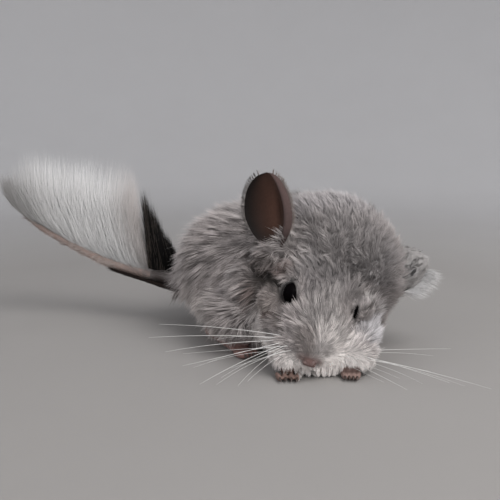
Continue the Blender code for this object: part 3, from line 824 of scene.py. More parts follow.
headRows = [(*fromHead((x, 0.0, z)), (w + h) / 2) for x, z, w, h in reversed(list(skull.values()))]
trunkRows = [(x, y, z, (w + h) / 2) for x, y, z, w, h in reversed(list(trunk.values()))]
boneLines = {
    "head": boneLine(headRows),
    "trunk": boneLine(trunkRows[1:]),
    "tail": boneLine([row[:4] for row in tailStem.values()]),
    "rightLeg": boneLine([*forelegs["right"], (-15.4, -3.0, 1.8, 3.6)]),
    "leftLeg": boneLine([*forelegs["left"], (12.6, -1.5, 1.8, 3.0)]),
    "rightFoot": boneLine([(-54, 61, 4, 4.5), (-43, 44, 4, 4.5), (-31, 24, 2, 4)]),
    "leftFoot": boneLine([(-14, 96, 4, 4.5), (-1, 80, 4, 4.5), (14, 60, 2, 4)]),
}


def boneField(points):
    # the line whose own surface is nearest, the share and angle there, and the lie blended from lines near it;
    # legs and tail only claim points within a millimetre or so of them
    aways, picks = [], []
    for k, line in enumerate(boneLines.values()):
        away = np.linalg.norm(points[:, None, :] - line["centres"][None], axis=2) - line["reach"][None]
        pick = away.argmin(axis=1)
        nearest = away[np.arange(len(points)), pick]
        aways.append(nearest if k < 2 else nearest + 6.0 * np.maximum(nearest - 1.2, 0.0))
        picks.append(pick)
    aways = np.stack(aways, axis=1)
    region = aways.argmin(axis=1)
    weights = np.exp(-(aways - aways.min(axis=1, keepdims=True)) / 4.0)
    lie = sum(w[:, None] * line["lie"][p] for w, line, p in zip(weights.T, boneLines.values(), picks))
    share, angle = np.zeros(len(points)), np.zeros(len(points))
    for k, line in enumerate(boneLines.values()):
        here = region == k
        centre, along = line["centres"][picks[k][here]], line["lie"][picks[k][here]]
        side = unit(np.cross(along, up + 0.01))
        out = points[here] - centre
        share[here] = line["share"][picks[k][here]]
        angle[here] = np.arctan2(dot(out, np.cross(side, along))[:, 0], dot(out, side)[:, 0])
    return region, unit(lie), share, angle


skinPaint = skinColour()
skin = meshObject("skin", skinPoints, skinFaces, {"skinColour": skinPaint})
skinMaterial, tree, shader = paintedMaterial(
    "thinSkin", "skinColour", 900.0, 0.5, Roughness=0.7, Sheen_Weight=0.03, Specular_IOR_Level=0.2,
)
grain = addNode(tree, "TexNoise", in_Scale=2600.0, in_Detail=2.0)
where = tree.nodes.new("ShaderNodeTexCoord")
tree.links.new(where.outputs["Object"], grain.inputs["Vector"])
bump = addNode(tree, "Bump", in_Strength=0.35, in_Distance=0.0003)
tree.links.new(grain.outputs["Fac"], bump.inputs["Height"])
tree.links.new(bump.outputs["Normal"], shader.inputs["Normal"])
skin.data.materials.append(skinMaterial)


def sampleSkin(perArea):
    # roots spread over the triangles: area times density, then a random point in each triangle
    a, b, c = (skinPoints[skinFaces[:, k]] for k in range(3))
    area = np.linalg.norm(np.cross(b - a, c - a), axis=1) / 2
    expected = area * perArea
    count = np.floor(expected + random.random(len(expected))).astype(int)
    pick = np.repeat(np.arange(len(skinFaces)), count)
    r, s = np.sqrt(random.random(len(pick))), random.random(len(pick))
    shares = np.stack([1.0 - r, r * (1.0 - s), r * s], axis=1)[..., None]
    corners = skinFaces[pick]
    roots, normals, tint = ((values[corners] * shares).sum(axis=1) for values in (skinPoints, skinNormals, skinPaint))
    return roots, unit(normals), tint, skinPart[corners[:, 0]]


def coatDensity():
    # blades for each square millimetre: thickest on the face, none on the soles, the nose and under the lids
    middle = skinPoints[skinFaces].mean(axis=1)
    normal = unit(skinNormals[skinFaces].sum(axis=1))
    part = skinPart[skinFaces[:, 0]]
    region = boneField(middle)[0]
    local = toHead(middle)
    headDensity = np.interp(local[:, 0], [-10.0, 12.0, 30.0, 45.0, 57.0], [4.6, 6.0, 6.6, 8.0, 10.0])
    table = np.array([0.0, 2.8, 3.4, 3.0, 3.0, 3.0, 3.0])
    density = np.where(region == 0, headDensity, table[region])
    density = np.where((normal[:, 2] < -0.5) & (middle[:, 1] > 30.0), density * 0.45, density)
    density = np.where((middle[:, 2] < 1.2) & (normal[:, 2] < -0.3), 0.0, density)
    noseAway = np.linalg.norm((local - (57.6, 0, -2.7)) / (2.0, 4.2, 1.8), axis=1)
    density = np.where(noseAway < 1.0, 0.0, density)
    for side in sides:
        spot = eyeFrame(side)[0]
        density = np.where((np.linalg.norm(middle - spot, axis=1) < 5.6) & (part == 0), 0.0, density)
    bare = np.zeros(len(skinPoints), bool)
    bare[skinPart == 1] = leaves["right"][2]["inner"]
    density = np.where(part == 1, 5.0, np.where(part == 2, 10.0, density))
    density = np.where(bare[skinFaces[:, 0]], 0.0, density)
    return np.where(part > 2, 9.0, density)


def turned(vectors, axes, angle):
    # v cos a + (axis x v) sin a, for v square to the axis
    return vectors * column(np.cos(angle)) + np.cross(axes, vectors) * column(np.sin(angle))


def headLie(roots, lie):
    # back from the nose, spreading down over cheeks and pads, and parted round the eyes
    x, y, z = toHead(roots).T
    side = np.sign(y)
    cheek = easeStep(6.0, 15.0, np.abs(y)) * easeStep(5.0, -7.0, z)
    pad = easeStep(34.0, 44.0, x) * easeStep(1.5, 6.0, np.abs(y))
    extra = column(cheek) * np.stack([0 * x, 0.35 * side, -0.75 + 0 * x], axis=1)
    extra = extra + column(pad) * np.stack([0 * x, 0.6 * side, -0.45 + 0 * x], axis=1)
    lie = lie + extra @ headAxes.T
    lock = np.exp(-((np.linalg.norm((roots - earLock) / (8.5, 6.5, 5.5), axis=1)) ** 2))
    lie = lie + column(2.6 * lock) * np.array([-0.15, -0.25, 1.0])
    for eye in sides:
        away, out = lidField(eye, roots)
        parting = np.where(dot(lie, out)[:, 0] > -0.2, 2.6, -0.4)
        lie = lie + out * column(parting * np.exp(-((away / 5.0) ** 2)))
    return lie


def hangLie(roots, lie):
    # low down the hair falls and spreads outwards: under the chin, on the breast and along the belly
    z, y = roots[:, 2], roots[:, 1]
    front = easeStep(15.0, 5.0, z) * easeStep(34.0, 22.0, y)
    behind = easeStep(16.0, 5.0, z) * easeStep(20.0, 30.0, y)
    outFront = unit((roots - (0.0, 20.0, 0.0)) * (1.0, 1.0, 0.0))
    outBehind = np.stack([np.sign(roots[:, 0]) * 0.9, 0.35 + 0 * y, -0.75 + 0 * y], axis=1)
    lie = mixed(lie, outFront * 0.55 - up, column(front))
    return mixed(lie, outBehind, column(0.7 * behind))


def coatLie(roots, normals, region, share, part, lie):
    lie = np.where(column(region == 0), headLie(roots, lie), lie)
    flank = column((1.0 - np.abs(normals[:, 2])) * easeStep(0.12, 0.4, share))
    lie = np.where(column(region == 1), lie - up * 1.4 * flank, lie)
    beside = column(easeStep(-22.0, -29.0, roots[:, 0]) * easeStep(62.0, 48.0, roots[:, 2]) * (region < 2))
    lie = lie + np.array([-1.7, 0.0, -1.3]) * beside * column(easeStep(75.0, 55.0, roots[:, 1]))
    lie = np.where(column(region < 2), hangLie(roots, lie), lie)
    for k, ear in enumerate(ears.values()):
        along = np.array(ear["tip"]) - np.array(ear["root"])
        lie = np.where(column(part == 1 + k), along, lie)
    return unit(lie - normals * dot(lie, normals) + 1e-4)


def coatLength(roots, region, share, part):
    x, y, z = toHead(roots).T
    length = np.interp(x, [-14, 0, 8, 20, 30, 38, 46, 53, 57], [7.0, 6.0, 5.0, 5.0, 5.4, 5.4, 4.4, 2.8, 1.2])
    low = easeStep(-3.0, -11.0, z)
    length = mixed(length, np.interp(x, [10, 30, 45, 56], [7.5, 7.0, 6.6, 4.8]), low)
    for spot in shortSpots:
        length = length * mixed(0.7, 1.0, easeStep(4.0, 8.0, np.linalg.norm(roots - spot, axis=1)))
    trunkLength = np.interp(share, [0.0, 0.2, 0.45, 0.8, 1.0], [5.2, 6.2, 10.5, 12.0, 11.0])
    trunkLength = trunkLength * mixed(0.65, 1.0, easeStep(8.0, 28.0, roots[:, 2]))
    length = np.where(region == 1, trunkLength, length)
    length = np.where(region == 2, 4.5, length)
    low = easeStep(2.0, 12.0, roots[:, 2])
    length = np.where((region == 3) | (region == 4), mixed(0.5, 5.5, low), length)
    length = np.where(region > 4, mixed(1.2, 5.0, easeStep(4.0, 9.0, roots[:, 2])), length)
    for eye in sides:
        away, _ = lidField(eye, roots)
        length = np.where(part == lidParts[eye], mixed(0.9, 3.8, easeStep(0.2, 4.0, away)), length)
        length = np.where(part == 0, length * mixed(0.35, 1.0, easeStep(1.0, 6.5, away)), length)
    earAway = np.linalg.norm((roots - (-21.5, 31.5, 56.0)) / (1.6, 1.0, 1.0), axis=1)
    length = np.where(region < 2, length * mixed(0.35, 1.0, easeStep(2.5, 6.0, earAway)), length)
    lock = np.exp(-((np.linalg.norm((roots - earLock) / (8.0, 5.5, 4.5), axis=1)) ** 2))
    length = np.where(region == 0, mixed(length, 8.5, lock), length)
    length = np.where(part == 1, 1.0, length)
    return np.where(part == 2, 4.2, length)


def coatLift(roots, region, part):
    # the angle that a blade leaves the skin at, in degrees
    x = toHead(roots)[:, 0]
    lift = np.interp(x, [-12, 5, 20, 30, 45, 57], [60.0, 50.0, 44.0, 34.0, 28.0, 20.0])
    lift = np.where(region == 1, 58.0, lift)
    lift = np.where((region < 2) & (roots[:, 2] < 14.0), 36.0, lift)
    lift = np.where(region >= 2, 20.0, lift)
    lift = np.where(region == 2, 10.0, lift)
    return np.where(part > 2, 30.0, np.where(part > 0, 10.0, lift))


def bladeMesh(name, blades, ringShares, material):
    # start, bend and tip are a quadratic curve: (1-s)^2 start + 2s(1-s) bend + s^2 tip.
    # its section is a flat triangle, width (1 - s^2.2) across and 0.6 of that deep, closed at root and tip
    s = np.array(ringShares)[None, :, None]
    count, rows = len(blades["start"]), len(ringShares)
    a, b, c = (blades[key][:, None, :] for key in ("start", "bend", "tip"))
    spine = (1 - s) ** 2 * a + 2 * s * (1 - s) * b + s**2 * c
    along = unit(2 * (1 - s) * (b - a) + 2 * s * (c - b))
    side = unit(np.cross(blades["out"][:, None, :], along))
    rise = np.cross(along, side)
    wide = blades["width"][:, None, None] * (1.0 - s**2.2) / 2
    corner = np.radians([90.0, 210.0, 330.0])
    spokes = np.stack([side * wide * math.cos(q) + rise * wide * 0.6 * math.sin(q) for q in corner], axis=2)
    points = np.concatenate([(spine[:, :, None, :] + spokes).reshape(count, rows * 3, 3), c], axis=1)
    # shading leans from the blade's own roundness towards the body's, as in a soft coat
    body = blades["out"][:, None, None, :] * np.ones((1, rows, 3, 1))
    body = unit(body - along[:, :, None, :] * dot(body, along[:, :, None, :]) * 0.7)
    normals = unit(mixed(unit(spokes), body, blades["soft"])).reshape(count, rows * 3, 3)
    normals = np.concatenate([normals, normals[:, -3:-2]], axis=1)
    last, perBlade = 3 * (rows - 1), 3 * rows + 1
    template = [(last + k, last + (k + 1) % 3, 3 * rows) for k in range(3)] + [(0, 2, 1)]
    for j in range(rows - 1):
        for k in range(3):
            i, n = 3 * j + k, 3 * j + (k + 1) % 3
            template += [(i, n, n + 3), (i, n + 3, i + 3)]
    faces = (np.arange(count)[:, None, None] * perBlade + np.array(template)[None]).reshape(-1, 3)
    share = np.concatenate([np.repeat(ringShares, 3), [1.0]])
    patch = np.stack([np.append(np.tile([0.0, 0.5, 1.0], rows), 0.5), share], axis=1) * 0.003
    uv = (blades["uv"][:, None, :] * 0.99 + patch[None]).reshape(-1, 2)
    tone = mixed(column(blades["rootTone"]), 1.08, easeStep(0.0, 0.88, share)[None])
    attributes = {"coatColour": (blades["colour"][:, None, :] * tone[..., None]).reshape(-1, 3)}
    attributes["along"] = np.tile(share, count)
    piece = meshObject(name, points.reshape(-1, 3), faces, attributes, uv, normals.reshape(-1, 3))
    piece.data.materials.append(material)
    print(name, count, "blades", len(faces), "triangles")
    return piece


def selected(blades, mask):
    return {key: value[mask] if isinstance(value, np.ndarray) else value for key, value in blades.items()}


def growCoat():
    roots, normals, tint, part = sampleSkin(coatDensity())
    region, lie, share, angle = boneField(roots)
    onEar = (part == 1) | (part == 2)
    region = np.where(part > 0, 0, region)
    lie = coatLie(roots, normals, region, share, part, lie)
    length = coatLength(roots, region, share, part)
    lift = coatLift(roots, region, part)
    colour = markedColour(roots)
    headX = toHead(roots)[:, 0]
    face = (region == 0) & (headX > 22.0)
    crown = ~face & (region == 0)
    scruff = (region == 1) & (share < 0.4) & (roots[:, 2] > 38.0)
    groups = {"face": face, "crown": crown, "scruff": scruff, "body": ~(face | crown | scruff)}
    wander = softNoise(roots, 14.0, 60) + 0.7 * softNoise(roots, 5.0, 70)
    tipPull, curl = np.zeros_like(roots), np.zeros(len(roots))
    for seed, (name, here) in enumerate(groups.items()):
        style = coat[name]
        spots = roots[here]
        big, number = wispCentres(spots, style["clump"], 11 + 40 * seed)
        small, fineNumber = wispCentres(spots, style["fine"], 31 + 40 * seed)
        swirl = style["swirl"] * wander[here] + random.normal(0.0, 0.09, len(spots))
        swirl += 1.3 * style["swirl"] * (number - 0.5) + 0.35 * (fineNumber - 0.5)
        lie[here] = turned(lie[here], normals[here], np.where(onEar[here], 0.3 * swirl, swirl))
        length[here] *= (0.84 + 0.32 * number) * (0.9 + 0.2 * fineNumber) * random.uniform(0.8, 1.1, len(spots))
        lift[here] += style["stand"] * (number - 0.5) + 10.0 * (fineNumber - 0.5)
        pull = style["pull"] * (big - spots) + style["finePull"] * (small - spots)
        pull *= np.where(column(onEar[here]), 0.25, 1.0)
        tipPull[here] = pull - normals[here] * dot(pull, normals[here])
        curl[here] = style["curl"] * np.sin(17.0 * number) + random.normal(0.0, 0.05, len(spots))
        own = (number, fineNumber, random.random(len(spots)))
        even = 1.0 - 0.65 * easeStep(0.35, 0.75, colour[here].mean(axis=1))  # white hair is the most even
        tone = math.prod(1.0 + amount * even * (value - 0.5) for amount, value in zip(style["tone"], own))
        colour[here] *= column(tone)
    colour = limbColour(roots, region, colour)
    colour = lidShade(roots, colour)
    stem = column(region == 2)
    colour = np.where(stem, markedColour(roots) * random.uniform(0.85, 1.1, (len(roots), 1)), colour)
    colour[onEar] = tint[onEar] * column(random.uniform(0.85, 1.45, onEar.sum()))
    guard = (random.random(len(roots)) < 0.05) & (part == 0)
    length = np.where(guard, length * 1.3, length)
    lift = np.where(onEar, np.where(part == 1, 8.0, 26.0), lift) + random.normal(0.0, 3.0, len(roots))
    low, high = np.radians(np.clip(lift, 6.0, 80.0)), np.radians(np.clip(lift * 0.9 - 22.0, 2.0, 45.0))
    first = lie * column(np.cos(low)) + normals * column(np.sin(low))
    second = lie * column(np.cos(high)) + normals * column(np.sin(high))
    # in front, low down, the hair leaves the skin and hangs to the floor in points
    hangs = column(0.8 * easeStep(11.0, 5.0, roots[:, 2]) * easeStep(14.0, 9.0, roots[:, 1]) * (region == 0))
    points, chance = wispCentres(roots * (1.0, 0.4, 0.0), 2.5, 90)
    length *= 1.0 - hangs[:, 0] * (0.45 * chance + random.uniform(0.0, 0.45, len(roots)))
    hanging = np.column_stack([0.012 * roots[:, 0], np.full(len(roots), -0.25), np.full(len(roots), -1.0)])
    first, second = mixed(first, hanging, 0.4 * hangs), mixed(second, hanging, hangs)
    start = roots - normals * column(np.where(part > 0, 0.1, 0.3))
    tipPull *= column(np.clip(length / 5.5, 0.3, 1.0))
    sideways = np.cross(normals, lie) * column(curl * length)
    bend = start + first * column(length * 0.5) + 0.35 * tipPull + sideways
    tip = bend + second * column(length * 0.5) + 0.65 * tipPull - 0.4 * sideways
    gather = hangs[:, 0] * (points[:, 0] - tip[:, 0])
    bend[:, 0] += 0.2 * gather
    tip[:, 0] += 0.7 * gather
    bend[:, 2] = np.maximum(bend[:, 2], 0.5)
    tip[:, 2] = np.maximum(tip[:, 2], 0.35)
    width = np.clip(0.15 + 0.022 * length, 0.18, 0.44) * random.uniform(0.8, 1.2, len(roots))
    width *= np.where(guard, 0.7, np.where(part == 1, 0.5, 1.0))
    uv = np.stack([share, angle / (2 * np.pi) + 0.5], axis=1)
    whiteness = easeStep(0.35, 0.7, colour.mean(axis=1))
    return {
        "start": start, "bend": bend, "tip": tip, "width": width, "out": normals, "colour": colour, "uv": uv,
        "region": region, "share": share, "length": length, "part": part, "soft": 0.6,
        "rootTone": np.where((part > 0) | (region == 2), 0.8, mixed(0.32, 0.95, whiteness)),
    }


def earFringe(side, count, pale):
    # fine hairs standing out round an ear's rim, and pale long ones from its hind edge near the head
    ear = ears[side]
    front = leaves[side][0][:-2].reshape(earShape["rows"], -1, 3)
    middle = front[:, earShape["columns"] // 2]
    v = 0.22 + 0.78 * random.random(count) ** 0.8
    rim = np.where(random.random(count) < 0.5, 0, earShape["columns"] - 1)
    long = random.random(count) < pale
    v, rim = np.where(long, 0.3 + 0.65 * random.random(count), v), np.where(long, earShape["pale"][side], rim)
    row = np.clip((v * (earShape["rows"] - 1)).round().astype(int), 0, earShape["rows"] - 2)
    start = front[row, rim] + random.normal(0.0, 0.15, (count, 3))
    along = unit(np.array(ear["tip"]) - np.array(ear["root"]))
    outward = unit(front[row, rim] - middle[row] + along * column(0.9 * v**3 * ear["width"] / 2))
    out = unit(outward + along * column(np.where(long, 0.1, 0.5)) + random.normal(0.0, 0.22, (count, 3)))
    out = np.where(column(long), unit(np.array([1.0, 0.1, -0.25]) + random.normal(0.0, 0.16, (count, 3))), out)
    length = np.where(long, random.uniform(6.0, 12.0, count), random.uniform(1.0, 2.8, count))
    bend = start + out * column(length * 0.5)
    tip = bend + unit(out + along * 0.3 - up * column(0.35 * long)) * column(length * 0.5)
    tint = np.where(column(long), np.array([0.62, 0.61, 0.61]), np.array([0.34, 0.285, 0.26]))
    return {
        "start": start, "bend": bend, "tip": tip, "width": np.where(long, 0.2, 0.18), "out": np.cross(out, along),
        "colour": tint * column(random.uniform(0.7, 1.2, count)), "uv": np.stack([v, 0.1 + 0.8 * rim / 40.0], axis=1),
        "share": v, "soft": 0.3, "rootTone": np.full(count, 0.8),
    }


def splitCoat(blades, name, mask, ringShares, material, limit=185000):
    # equal runs from nose to tail, each under the limit of triangles
    trianglesEach = 6 * len(ringShares) - 2
    order = np.nonzero(mask)[0]
    order = order[np.argsort(blades["share"][order], kind="stable")]
    runs = max(1, math.ceil(len(order) * trianglesEach / limit))
    return [
        bladeMesh(f"{name}{k + 1}", selected(blades, run), ringShares, material)
        for k, run in enumerate(np.array_split(order, runs))
    ]


print("coat: growing")
blades = growCoat()
furMaterial = coatMaterial("softFur", Sheen_Weight=0.25, Sheen_Roughness=0.5, IOR=1.3)
short = blades["length"] < 4.2
isHead = blades["region"] == 0
isTrunk = blades["region"] == 1
coatPieces = splitCoat(blades, "coatFace", isHead & short, (0.0, 0.5), furMaterial)
coatPieces += splitCoat(blades, "coatHead", isHead & ~short, (0.0, 0.5), furMaterial)
coatPieces += splitCoat(blades, "coatTrunk", isTrunk, (0.0, 0.5), furMaterial)
coatPieces += splitCoat(blades, "coatLimbs", blades["region"] > 2, (0.0, 0.5), furMaterial)
coatPieces.append(bladeMesh("coatEarRight", earFringe("right", 900, 0.0), (0.0, 0.5), furMaterial))
coatPieces.append(bladeMesh("coatEarLeft", earFringe("left", 1300, 0.45), (0.0, 0.5), furMaterial))
tailPieces = splitCoat(blades, "coatStem", blades["region"] == 2, (0.0, 0.5), furMaterial)


# Tail: long hairs standing up off the stem in a fan, a black tuft at its foot and a dark stripe beneath.
# foot and top are x, z along the stem and along the outline
fan = {
    "count": 8600,
    "foot": ((-88, 29), (-98, 29), (-115, 35), (-132, 43), (-148, 53), (-160, 61)),
    "top": ((-93, 80), (-100, 90), (-119, 93), (-139, 95), (-157, 97), (-172, 84)),
    "y": (94.5, 96.5, 98, 98, 97, 97), "run": (-0.9, 0.0, 0.42),
    "spread": 5.0, "sweep": 0.34, "ahead": 0.14, "wisp": 0.12, "ragged": 0.5, "width": (0.13, 0.21),
    "colour": (0.74, 0.73, 0.725), "footColour": (0.48, 0.44, 0.425), "tipColour": (0.26, 0.25, 0.245),
}
tuft = {
    "count": 3400, "foot": ((-72, 28), (-80, 29), (-90, 31)), "top": ((-77, 44), (-85, 58), (-92, 76)),
    "y": (88, 90, 91), "run": (-0.9, 0.0, 0.42), "spread": 2.2, "sweep": -0.04, "ahead": 0.0, "wisp": 0.35,
    "ragged": 0.36, "width": (0.2, 0.32),
    "colour": (0.005, 0.0045, 0.0045), "brown": (0.070, 0.058, 0.050),
}
stripe = {
    "count": 2300, "foot": ((-60, 14), (-102, 26)), "y": (85, 93.5), "length": 15.0,
    "colour": (0.030, 0.022, 0.019),
}
longRings = (0.0, 0.34, 0.7)


def alongPath(points, share):
    # straight runs between points, read at a share of the whole number of runs
    points = np.array(points, float)
    at = np.linspace(0.0, 1.0, len(points))
    return np.stack([np.interp(share, at, points[:, k]) for k in range(points.shape[1])], axis=1)


def tailBlades(settings, colourOf):
    # a hair leaves the stem along its run, then bends up to a point part of the way to the outline
    count = settings["count"]
    share = 1.06 * random.random(count) - 0.03
    foot = alongPath(settings["foot"], share)
    top = alongPath(settings["top"], np.clip(share + settings["ahead"], 0.0, 1.0))
    y = np.interp(share, np.linspace(0, 1, len(settings["y"])), settings["y"])
    reach = 1.05 - np.abs(random.normal(0.0, settings["ragged"], count))
    reach = np.maximum(reach, 0.22 + 0.2 * random.random(count))
    side = np.clip(random.normal(0.0, 1.0, count), -2.0, 2.0)
    start = np.column_stack([foot[:, 0], y + side * 1.2, foot[:, 1]])
    end = mixed(foot, top, column(reach))
    tip = np.column_stack([end[:, 0], y + side * settings["spread"], end[:, 1]])
    flat = tip * (1.0, 1.0, 0.25)
    wisps, number = wispCentres(flat, 4.5, 5)
    tip[:, :2] += settings["wisp"] * (wisps - flat)[:, :2]
    tip += random.normal(0.0, 1.2, tip.shape)
    length = np.linalg.norm(tip - start, axis=1)
    sweep = settings["sweep"] * random.uniform(0.5, 1.3, count) * length
    bend = mixed(start, tip, 0.42) + np.array(settings["run"]) * column(sweep) - up * column(0.5 * sweep)
    bend[:, 1] += side * 0.8
    out = unit(np.stack([0.25 + 0 * side, side * 0.5 - 0.6, 0.7 + 0 * side], axis=1))
    return {
        "start": start, "bend": bend, "tip": tip, "width": random.uniform(*settings["width"], count), "out": out,
        "colour": colourOf(share, number) * column(random.uniform(0.9, 1.08, count)), "soft": 0.95,
        "share": share,
        "uv": np.stack([share, 0.1 + 0.8 * random.random(count)], axis=1), "rootTone": np.full(count, 0.8),
    }


def fanColour(share, number):
    # greyer towards the tail's end and at its foot near the body
    colour = mixed(np.array(fan["footColour"]), np.array(fan["colour"]), column(easeStep(-0.05, 0.25, share)))
    colour = mixed(colour, np.array(fan["tipColour"]), column(easeStep(0.5, 0.95, share)))
    return colour * column(0.94 + 0.1 * number)


def tuftColour(share, number):
    # brownish hairs among the black ones, more of them towards the fan
    brown = random.random(len(share)) < 0.03 + 0.3 * share**2
    return np.where(column(brown), np.array(tuft["brown"]), np.array(tuft["colour"])) * column(0.8 + 0.5 * number)


def stripeBlades():
    # hair lying along the underside of the tail's base
    count = stripe["count"]
    share = random.random(count)
    foot = alongPath(stripe["foot"], share)
    y = np.interp(share, [0, 1], stripe["y"])
    turn = random.uniform(-1.0, 1.0, count)
    start = np.column_stack([foot[:, 0], y + 5.0 * turn, foot[:, 1] + 2.5 * np.abs(turn)])
    run = unit(np.array([-42.0, 8.0, 12.0]))
    out = unit(np.stack([0 * y, turn, -1.2 + 0 * y], axis=1))
    length = stripe["length"] * random.uniform(0.7, 1.1, count)
    bend = start + run * column(length * 0.5) + out * 0.9
    tip = start + run * column(length) + out * 0.2 + random.normal(0, 0.5, start.shape)
    return {
        "start": start, "bend": bend, "tip": tip, "width": random.uniform(0.3, 0.45, count), "out": out,
        "colour": np.array(stripe["colour"]) * column(random.uniform(0.7, 1.3, count)), "soft": 0.5,
        "share": share,
        "uv": np.stack([share, 0.1 + 0.8 * random.random(count)], axis=1), "rootTone": np.full(count, 0.9),
    }


fanMaterial = coatMaterial("longWhiteHair", Sheen_Weight=0.3, Sheen_Roughness=0.45, IOR=1.3)
darkMaterial = coatMaterial("darkHair", Sheen_Weight=0.02, Sheen_Roughness=0.5, IOR=1.3, Specular_IOR_Level=0.2)
tailPieces += splitCoat(tailBlades(fan, fanColour), "tailFan", np.ones(fan["count"], bool), longRings, fanMaterial)
tailPieces.append(bladeMesh("tailTuft", tailBlades(tuft, tuftColour), longRings, darkMaterial))
tailPieces.append(bladeMesh("tailStripe", stripeBlades(), (0.0, 0.35, 0.72), darkMaterial))


# Whiskers and claws. Whisker ends are in working millimetres, the seat in the head's axes
whiskers = {
    "right": ((-73, 10, 21.5), (-76, 0, 18.5), (-69, 0, 12), (-61, -5, 7.5), (-53, -12, 2), (-48, 10, 14),
              (-44, -15, 6), (-37, -15, 2.5), (-62, 6, 9), (-50, -8, 10), (-40, -12, 9), (-33, -14, 4),
              (-46, -14, 2.5), (-57, 2, 4)),
    "left": ((52, -12, 2.5), (68, -16, 1.5), (33, -17, 1.5), (59, 10, 10), (46, -5, 4.7), (58, -13, 1.5),
             (40, -14, 3), (24, -14, 3.5), (50, 6, 8), (30, -16, 6)),
    "seat": (49.0, 10.5, -4.8), "thick": 0.16, "sag": 3.5,
}


def whiskerTube(seat, end, thick, sag):
    # a tapering tube on a quadratic curve that leaves the pad outwards and droops to its end
    s = np.linspace(0.0, 1.0, 18)[:, None]
    middle = mixed(seat, end, 0.5) + up * sag
    spine = (1 - s) ** 2 * seat + 2 * s * (1 - s) * middle + s**2 * end
    along = unit(np.gradient(spine, axis=0))
    side = unit(np.cross(up, along))
    radius = thick * (1.0 - 0.75 * s)
    return ringTube(spine, side * radius, np.cross(along, side) * radius, 5)


def whiskerShapes():
    shapes = []
    for side, sign in sides.items():
        ends = np.array(whiskers[side], float)
        for k, end in enumerate(ends):
            row, file = k % 3, k // 3
            local = np.array(whiskers["seat"]) + (1.3 * file - 2.5, -0.9 * file, 2.0 - 1.8 * row)
            seat = fromHead(local * (1.0, sign, 1.0))
            chance = scattered(end, 2)
            thick = whiskers["thick"] * (1.0 if k < 5 else 0.7) * (0.75 if side == "left" else 1.0)
            shapes.append(whiskerTube(seat, end, thick, whiskers["sag"] * (1.8 * chance - 0.2)))
    return shapes


def clawShape(seat, heading, size):
    # a small horn that narrows to a point and hooks down
    s = np.linspace(0.0, 1.0, 8)[:, None]
    spine = seat + heading * (3.4 * size * s) - up * (1.1 * size * s**2)
    spine[:, 2] = np.maximum(spine[:, 2], 0.35)
    side = unit(np.cross(up, heading))
    radius = size * (1.0 - s**1.6 * 0.92)
    return ringTube(spine, side * radius * 0.8, up * radius, 10)


whiskerPiece = meshObject("whiskers", *joined(whiskerShapes()))
whiskerMaterial, tree, shader = newMaterial("whiskerHorn", Roughness=0.4, Base_Color=(0.74, 0.73, 0.71, 1.0))
whiskerPiece.data.materials.append(whiskerMaterial)
clawPiece = meshObject("claws", *joined([clawShape(*seat) for seat in clawSeats]))
clawMaterial, tree, shader = newMaterial("clawHorn", Roughness=0.35, Base_Color=(0.05, 0.032, 0.026, 1.0))
clawPiece.data.materials.append(clawMaterial)


# Stage: a pale bowl, flat under the model and rising to a soft wall, and the lights. Metres.
stageShape = {"flat": 0.62, "wall": 0.55, "height": 2.2}


def stageBowl():
    # a profile turned about the vertical: flat, a quarter circle, then upright
    bow = np.radians(np.linspace(0.0, 90.0, 24))
    flat, wall = stageShape["flat"], stageShape["wall"]
    radius = np.concatenate([[0.00002], np.linspace(0.1, flat, 6)[:-1], flat + wall * np.sin(bow)])
    height = np.concatenate([np.zeros(6), wall * (1.0 - np.cos(bow))])
    radius, height = np.append(radius, radius[-1]), np.append(height, stageShape["height"])
    turn = np.linspace(0.0, 2.0 * np.pi, 96, endpoint=False)
    ring = np.stack([np.cos(turn), np.sin(turn), 0 * turn], axis=1)
    points = radius[:, None, None] * ring[None] + height[:, None, None] * up
    return points.reshape(-1, 3) / millimetre - place, gridFaces(len(radius), 96, closed=True)[:, ::-1]


floor = meshObject("floor", *stageBowl())
floorMaterial, tree, shader = newMaterial("paleFloor", Roughness=0.7)
where = tree.nodes.new("ShaderNodeTexCoord")
apart = addNode(tree, "VectorMath", operation="LENGTH")
tree.links.new(where.outputs["Object"], apart.inputs[0])
# darker under the model and paler up the wall: partly the floor's and the wall's own colours, partly painted light
# that brightens the wall
tone = addNode(tree, "ValToRGB")
tone.color_ramp.elements[0].color = (0.285, 0.272, 0.262, 1.0)
tone.color_ramp.elements[1].color = (0.50, 0.495, 0.50, 1.0)
tree.links.new(remap(tree, apart.outputs["Value"], 0.25, 0.8, 0.0, 1.0), tone.inputs["Fac"])
uneven = addGroup(tree, speckle, fine=14.0, amount=0.05)
tree.links.new(tone.outputs["Color"], uneven.inputs["colour"])
tree.links.new(uneven.outputs["colour"], shader.inputs["Base Color"])
floor.data.materials.append(floorMaterial)

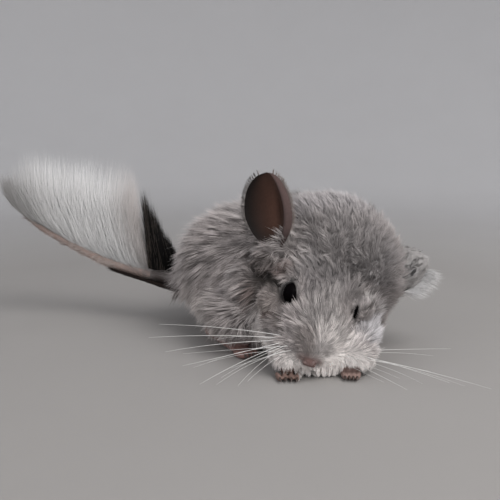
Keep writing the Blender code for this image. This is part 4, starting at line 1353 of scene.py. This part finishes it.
camera = bpy.data.objects.new("camera", bpy.data.cameras.new("camera"))
camera.data.lens = 44.64
camera.data.sensor_width = 36.0
camera.data.clip_start = 0.01
camera.location = toModel((-32.0, -259.5, 102.0))
camera.rotation_euler = (math.radians(80.2), 0.0, 0.0)
bpy.context.scene.collection.objects.link(camera)
bpy.context.scene.camera = camera

lights = {
    "key": {"spot": (0.55, -0.45, 0.85), "size": 0.7, "power": 9.2, "colour": (1.0, 0.99, 0.98), "spread": 180.0},
    "fill": {"spot": (-0.7, -0.5, 0.6), "size": 0.9, "power": 2.5, "colour": (0.97, 0.98, 1.0), "spread": 180.0},
    "front": {"spot": (0.2, -0.8, 0.33), "size": 0.44, "power": 0.45, "colour": (1.0, 1.0, 1.0), "spread": 100.0},
}
for name, light in lights.items():
    lamp = bpy.data.objects.new(name, bpy.data.lights.new(name, "AREA"))
    lamp.data.size = light["size"]
    lamp.data.energy = light["power"]
    lamp.data.color = light["colour"]
    lamp.data.spread = math.radians(light["spread"])
    lamp.location = light["spot"]
    aim = unit(np.array([0.0, 0.0, 0.03]) - np.array(light["spot"]))
    lamp.rotation_euler = (math.acos(-aim[2]), 0.0, math.atan2(aim[0], -aim[1]) + math.pi)
    bpy.context.scene.collection.objects.link(lamp)
world = bpy.data.worlds.new("studio")
world.use_nodes = True
world.node_tree.nodes["Background"].inputs["Color"].default_value = (0.93, 0.95, 1.0, 1.0)
world.node_tree.nodes["Background"].inputs["Strength"].default_value = 0.9
bpy.context.scene.world = world
bpy.context.scene.view_settings.view_transform = "Standard"

slots = {"coat": [skin, whiskerPiece, *coatPieces], "tail_coat": tailPieces, "paw_skin": [clawPiece]}
slots["eye"] = list(eyeballs.values())
for slot, pieces in slots.items():
    for piece in pieces:
        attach(piece, "root")
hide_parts("head", "neck", "trunk", "thigh_left", "thigh_right", "tail_base", "tail_middle", "tail_tip")
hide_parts("foreleg_left", "foreleg_right", "foot_hind_left", "foot_hind_right", "ear_left", "ear_right")
for side, ball in eyeballs.items():
    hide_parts("eye_" + side)
